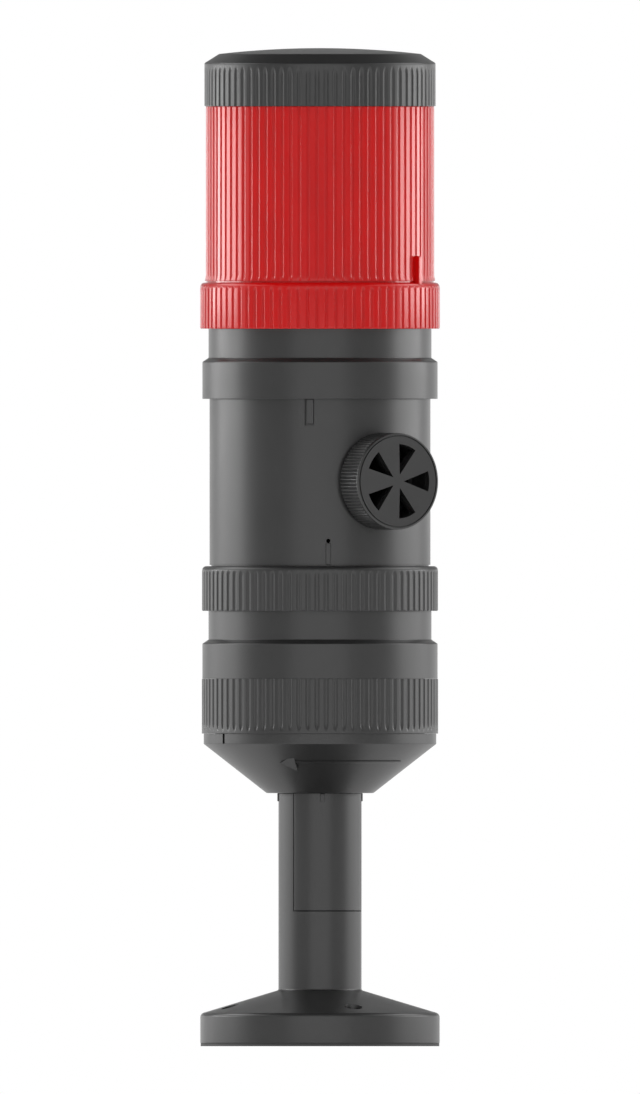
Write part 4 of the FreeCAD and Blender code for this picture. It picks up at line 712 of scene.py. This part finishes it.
bm = bmesh.new()
turn_outline(bm, [
    (28.0, 184.3), (30.0, 184.3, 0.2), (30.0, BODY_TOP), (RING_RADIUS, BODY_TOP, 0.15),
    *neck(200.1, 212.8, 214.8, 218.5),
    (29.9, 198.5), (9.5, 198.5), (9.5, 196.0), (28.0, 196.0),
], steps=WALL_STEPS)
add_lugs(bm, 28.3, 30.4, 214.8, 216.9)
collar = make_piece("siren_collar_ring", bm, black_abs)
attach(collar, "siren")
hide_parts("siren_collar")


# Lens: one moulding of transparent red polycarbonate. Its skirt is the grip of the light's
# bayonet. The ribs outside spread the lamps' light, and a polished tool gives them a sharp gloss.

def red_polycarbonate(name, code):
    """Deep red transparent plastic, seen from outside as red with clear gloss on its ribs."""
    material = new_material(name)
    place = add_node(material, "ShaderNodeTexCoord")
    # The wall's thickness varies over some 12 mm, which clouds the colour slightly
    clouds = add_node(material, "ShaderNodeTexNoise", {"Scale": 1 / 0.012, "Detail": 2.0},
                      {"Vector": place.outputs["Object"]})
    colour = add_node(material, "ShaderNodeMix", {6: shade(code, 0.90), 7: shade(code, 1.10)},
                      {0: clouds.outputs["Fac"]}, data_type="RGBA")
    ripple = add_node(material, "ShaderNodeTexNoise", {"Scale": 1000 / 1.5, "Detail": 1.0},
                      {"Vector": place.outputs["Object"]})
    bump = add_node(material, "ShaderNodeBump", {"Strength": 0.03, "Distance": 0.00001},
                    {"Height": ripple.outputs["Fac"]})
    # Part of the gloss comes back from inside the red wall, so it is tinted
    shader = add_node(material, "ShaderNodeBsdfPrincipled",
                      {"IOR": 1.58, "Specular IOR Level": 0.6, "Specular Tint": linear("#FFD9D9"),
                       "Roughness": 0.10, "Subsurface Weight": 0.15,
                       "Subsurface Radius": (0.004, 0.0006, 0.0005), "Subsurface Scale": 1.0},
                      {"Base Color": colour.outputs[2], "Normal": bump.outputs[0]})
    add_node(material, "ShaderNodeOutputMaterial", links={"Surface": shader.outputs[0]})
    return material


red_lens = red_polycarbonate("moulded_red_polycarbonate", "#C20606")

LENS_STEPS = 1920
LENS_RADIUS = 33.4
LENS_SKIRT_RADIUS = 35.05
LENS_TOP = 274.9
LENS_GROOVE_DEPTH = 0.36
LENS_GROOVE_WIDTH = 1.3
LENS_FLANK = 0.85
LENS_MARK_ANGLE = 57.2

bm = bmesh.new()
turn_outline(bm, [
    (32.9, 209.8), (LENS_SKIRT_RADIUS, 209.8, 0.4), (LENS_SKIRT_RADIUS, 219.6),
    *rows(LENS_SKIRT_RADIUS, 219.9, 221.6, 0.2), (LENS_SKIRT_RADIUS, 223.35, 1.3),
    (33.25, 223.35), (33.25, 223.75), (33.7, 223.75, 0.15), (LENS_RADIUS, 225.4),
    (LENS_RADIUS, LENS_TOP, 0.2), (31.0, LENS_TOP), (31.0, 220.8), (32.9, 220.8),
], steps=LENS_STEPS, first=KNURL_PHASE)
press_grooves(bm, LENS_SKIRT_RADIUS, 100.0, 221.2, LENS_GROOVE_DEPTH, LENS_GROOVE_WIDTH, 1.0, LENS_FLANK)
# The upper grooves would also reach the skirt, so its points are put back
skirt_verts = {vert: vert.co.copy() for vert in bm.verts if vert.co.z <= 223.7}
press_grooves(bm, LENS_RADIUS, 226.0, 300.0, LENS_GROOVE_DEPTH, LENS_GROOVE_WIDTH, 1.6, LENS_FLANK)
for vert, spot in skirt_verts.items():
    vert.co = spot
lens = make_piece("lens_ribbed", bm, red_lens, sharp=50.0)
bm = bmesh.new()
# The raised mark stands on the skirt's top edge
add_box(bm, LENS_MARK_ANGLE, 32.8, LENS_SKIRT_RADIUS, 1.7, 222.6, 231.1, 0.35)
lens_mark = make_piece("lens_mark", bm, red_lens)
for piece in (lens, lens_mark):
    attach(piece, "light")
    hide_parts("lens")


# Collar in the lens's top and the end cap on it: black ABS. The cap's side has the same grip of
# eighty grooves, open below and rounded at the top. A chamfer leads to a shallow dome.

bm = bmesh.new()
turn_outline(bm, [
    (28.8, 267.9), (30.9, 267.9, 0.2), (30.9, LENS_TOP), (31.5, LENS_TOP), (31.5, 277.9), (30.3, 277.9),
    (30.3, 279.9), (31.5, 279.9), (31.5, 283.6, 0.3), (28.8, 283.6),
], steps=WALL_STEPS)
add_lugs(bm, 27.2, 29.3, 279.9, 282.0)
lens_collar = make_piece("lens_collar", bm, black_abs)
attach(lens_collar, "light")
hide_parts("light_collar")

CAP_RADIUS = 33.8
DOME_RIM = 29.5
DOME_FOOT = 290.2
DOME_TOP = 291.9
dome_radius = (DOME_RIM ** 2 + (DOME_TOP - DOME_FOOT) ** 2) / 2 / (DOME_TOP - DOME_FOOT)


def dome_points(count):
    """Points of the shallow dome from its rim to the axis."""
    points = []
    for step in range(1, count + 1):
        out = DOME_RIM * (1 - step / count)
        points.append((out, DOME_TOP - dome_radius + math.sqrt(dome_radius ** 2 - out ** 2)))
    return points


bm = bmesh.new()
turn_outline(bm, [
    (0, 284.3), (24.9, 284.3), (24.9, 275.9), (26.9, 275.9, 0.2), (26.9, 284.3), (31.8, 284.3),
    (31.8, 274.94), (CAP_RADIUS, 274.94, 0.08), (CAP_RADIUS, 282.0),
    *rows(CAP_RADIUS, 282.3, 286.9, 0.3), (CAP_RADIUS, 287.5, 0.25), (DOME_RIM, DOME_FOOT, 0.3),
    *dome_points(10),
], steps=KNURL_STEPS, first=KNURL_PHASE)
press_grooves(bm, CAP_RADIUS, 200.0, 284.0, 0.33, KNURL_WIDTH, 2.6, KNURL_FLANK)
add_lugs(bm, 26.4, 28.5, 277.5, 279.6)
cap = make_piece("end_cap_knurled", bm, black_abs, sharp=50.0)
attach(cap, "cap")
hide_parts("end_cap")


# What is inside or hardly shows keeps its solid: seals of black rubber, a plated nut, screws and
# clip, brass contacts, green circuit boards, grey terminal plastic and the lamps' clear resin.

def finish_nodes(material, *names):
    """Give solids of the frame their material."""
    for name in names:
        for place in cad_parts[name].material_slots:
            place.material = material


def plated_metal(name, code, roughness, scratch_mm):
    """A thin bright plating with fine drawing marks."""
    material = new_material(name)
    place = add_node(material, "ShaderNodeTexCoord")
    marks = add_node(material, "ShaderNodeTexNoise", {"Scale": 1000 / scratch_mm, "Detail": 2.0},
                     {"Vector": place.outputs["Object"]})
    sheen = uneven_sheen(material, roughness, 0.06, marks)
    bump = add_node(material, "ShaderNodeBump", {"Strength": 0.2, "Distance": 0.000005},
                    {"Height": marks.outputs["Fac"]})
    shader = add_node(material, "ShaderNodeBsdfPrincipled", {"Base Color": linear(code), "Metallic": 1.0},
                      {"Roughness": sheen.outputs[0], "Normal": bump.outputs[0]})
    add_node(material, "ShaderNodeOutputMaterial", links={"Surface": shader.outputs[0]})
    return material


rubber = moulded_plastic("moulded_black_nitrile_rubber", "#303030", 0.6, 0.9, 0.02)
finish_nodes(rubber, "foot_gasket", "tube_seal", "lock_seal", "terminal_neck_seal", "siren_neck_seal",
             "cap_seal")
finish_nodes(plated_metal("zinc_plated_steel", "#B9BCBE", 0.32, 0.6), "tube_nut", "terminal_screws")
finish_nodes(plated_metal("blued_spring_steel", "#6E7074", 0.38, 0.5), "knob_clip")
finish_nodes(plated_metal("tinned_brass_strip", "#D9CFA8", 0.30, 0.5), "terminal_pins", "siren_bus_bars")
solder_mask = moulded_plastic("green_solder_mask_on_glass_epoxy", "#1E5B38", 0.30, 1.2, 0.01, 0.10)
finish_nodes(solder_mask, "terminal_board", "siren_board", "siren_contact_plate", "light_contact_plate",
             "led_boards")
grey_pbt = moulded_plastic("moulded_light_grey_pbt", "#C8C8C2", 0.38, 0.8, 0.01)
finish_nodes(grey_pbt, "terminal_block_front", "terminal_block_rear", "terminal_pin_carrier",
             "siren_pin_carrier")
finish_nodes(moulded_plastic("clear_lamp_resin", "#E8E4CC", 0.12, 1.5, 0.004), "leds")
finish_nodes(black_abs, "light_base", "led_column", "siren_sounder", "sound_duct")
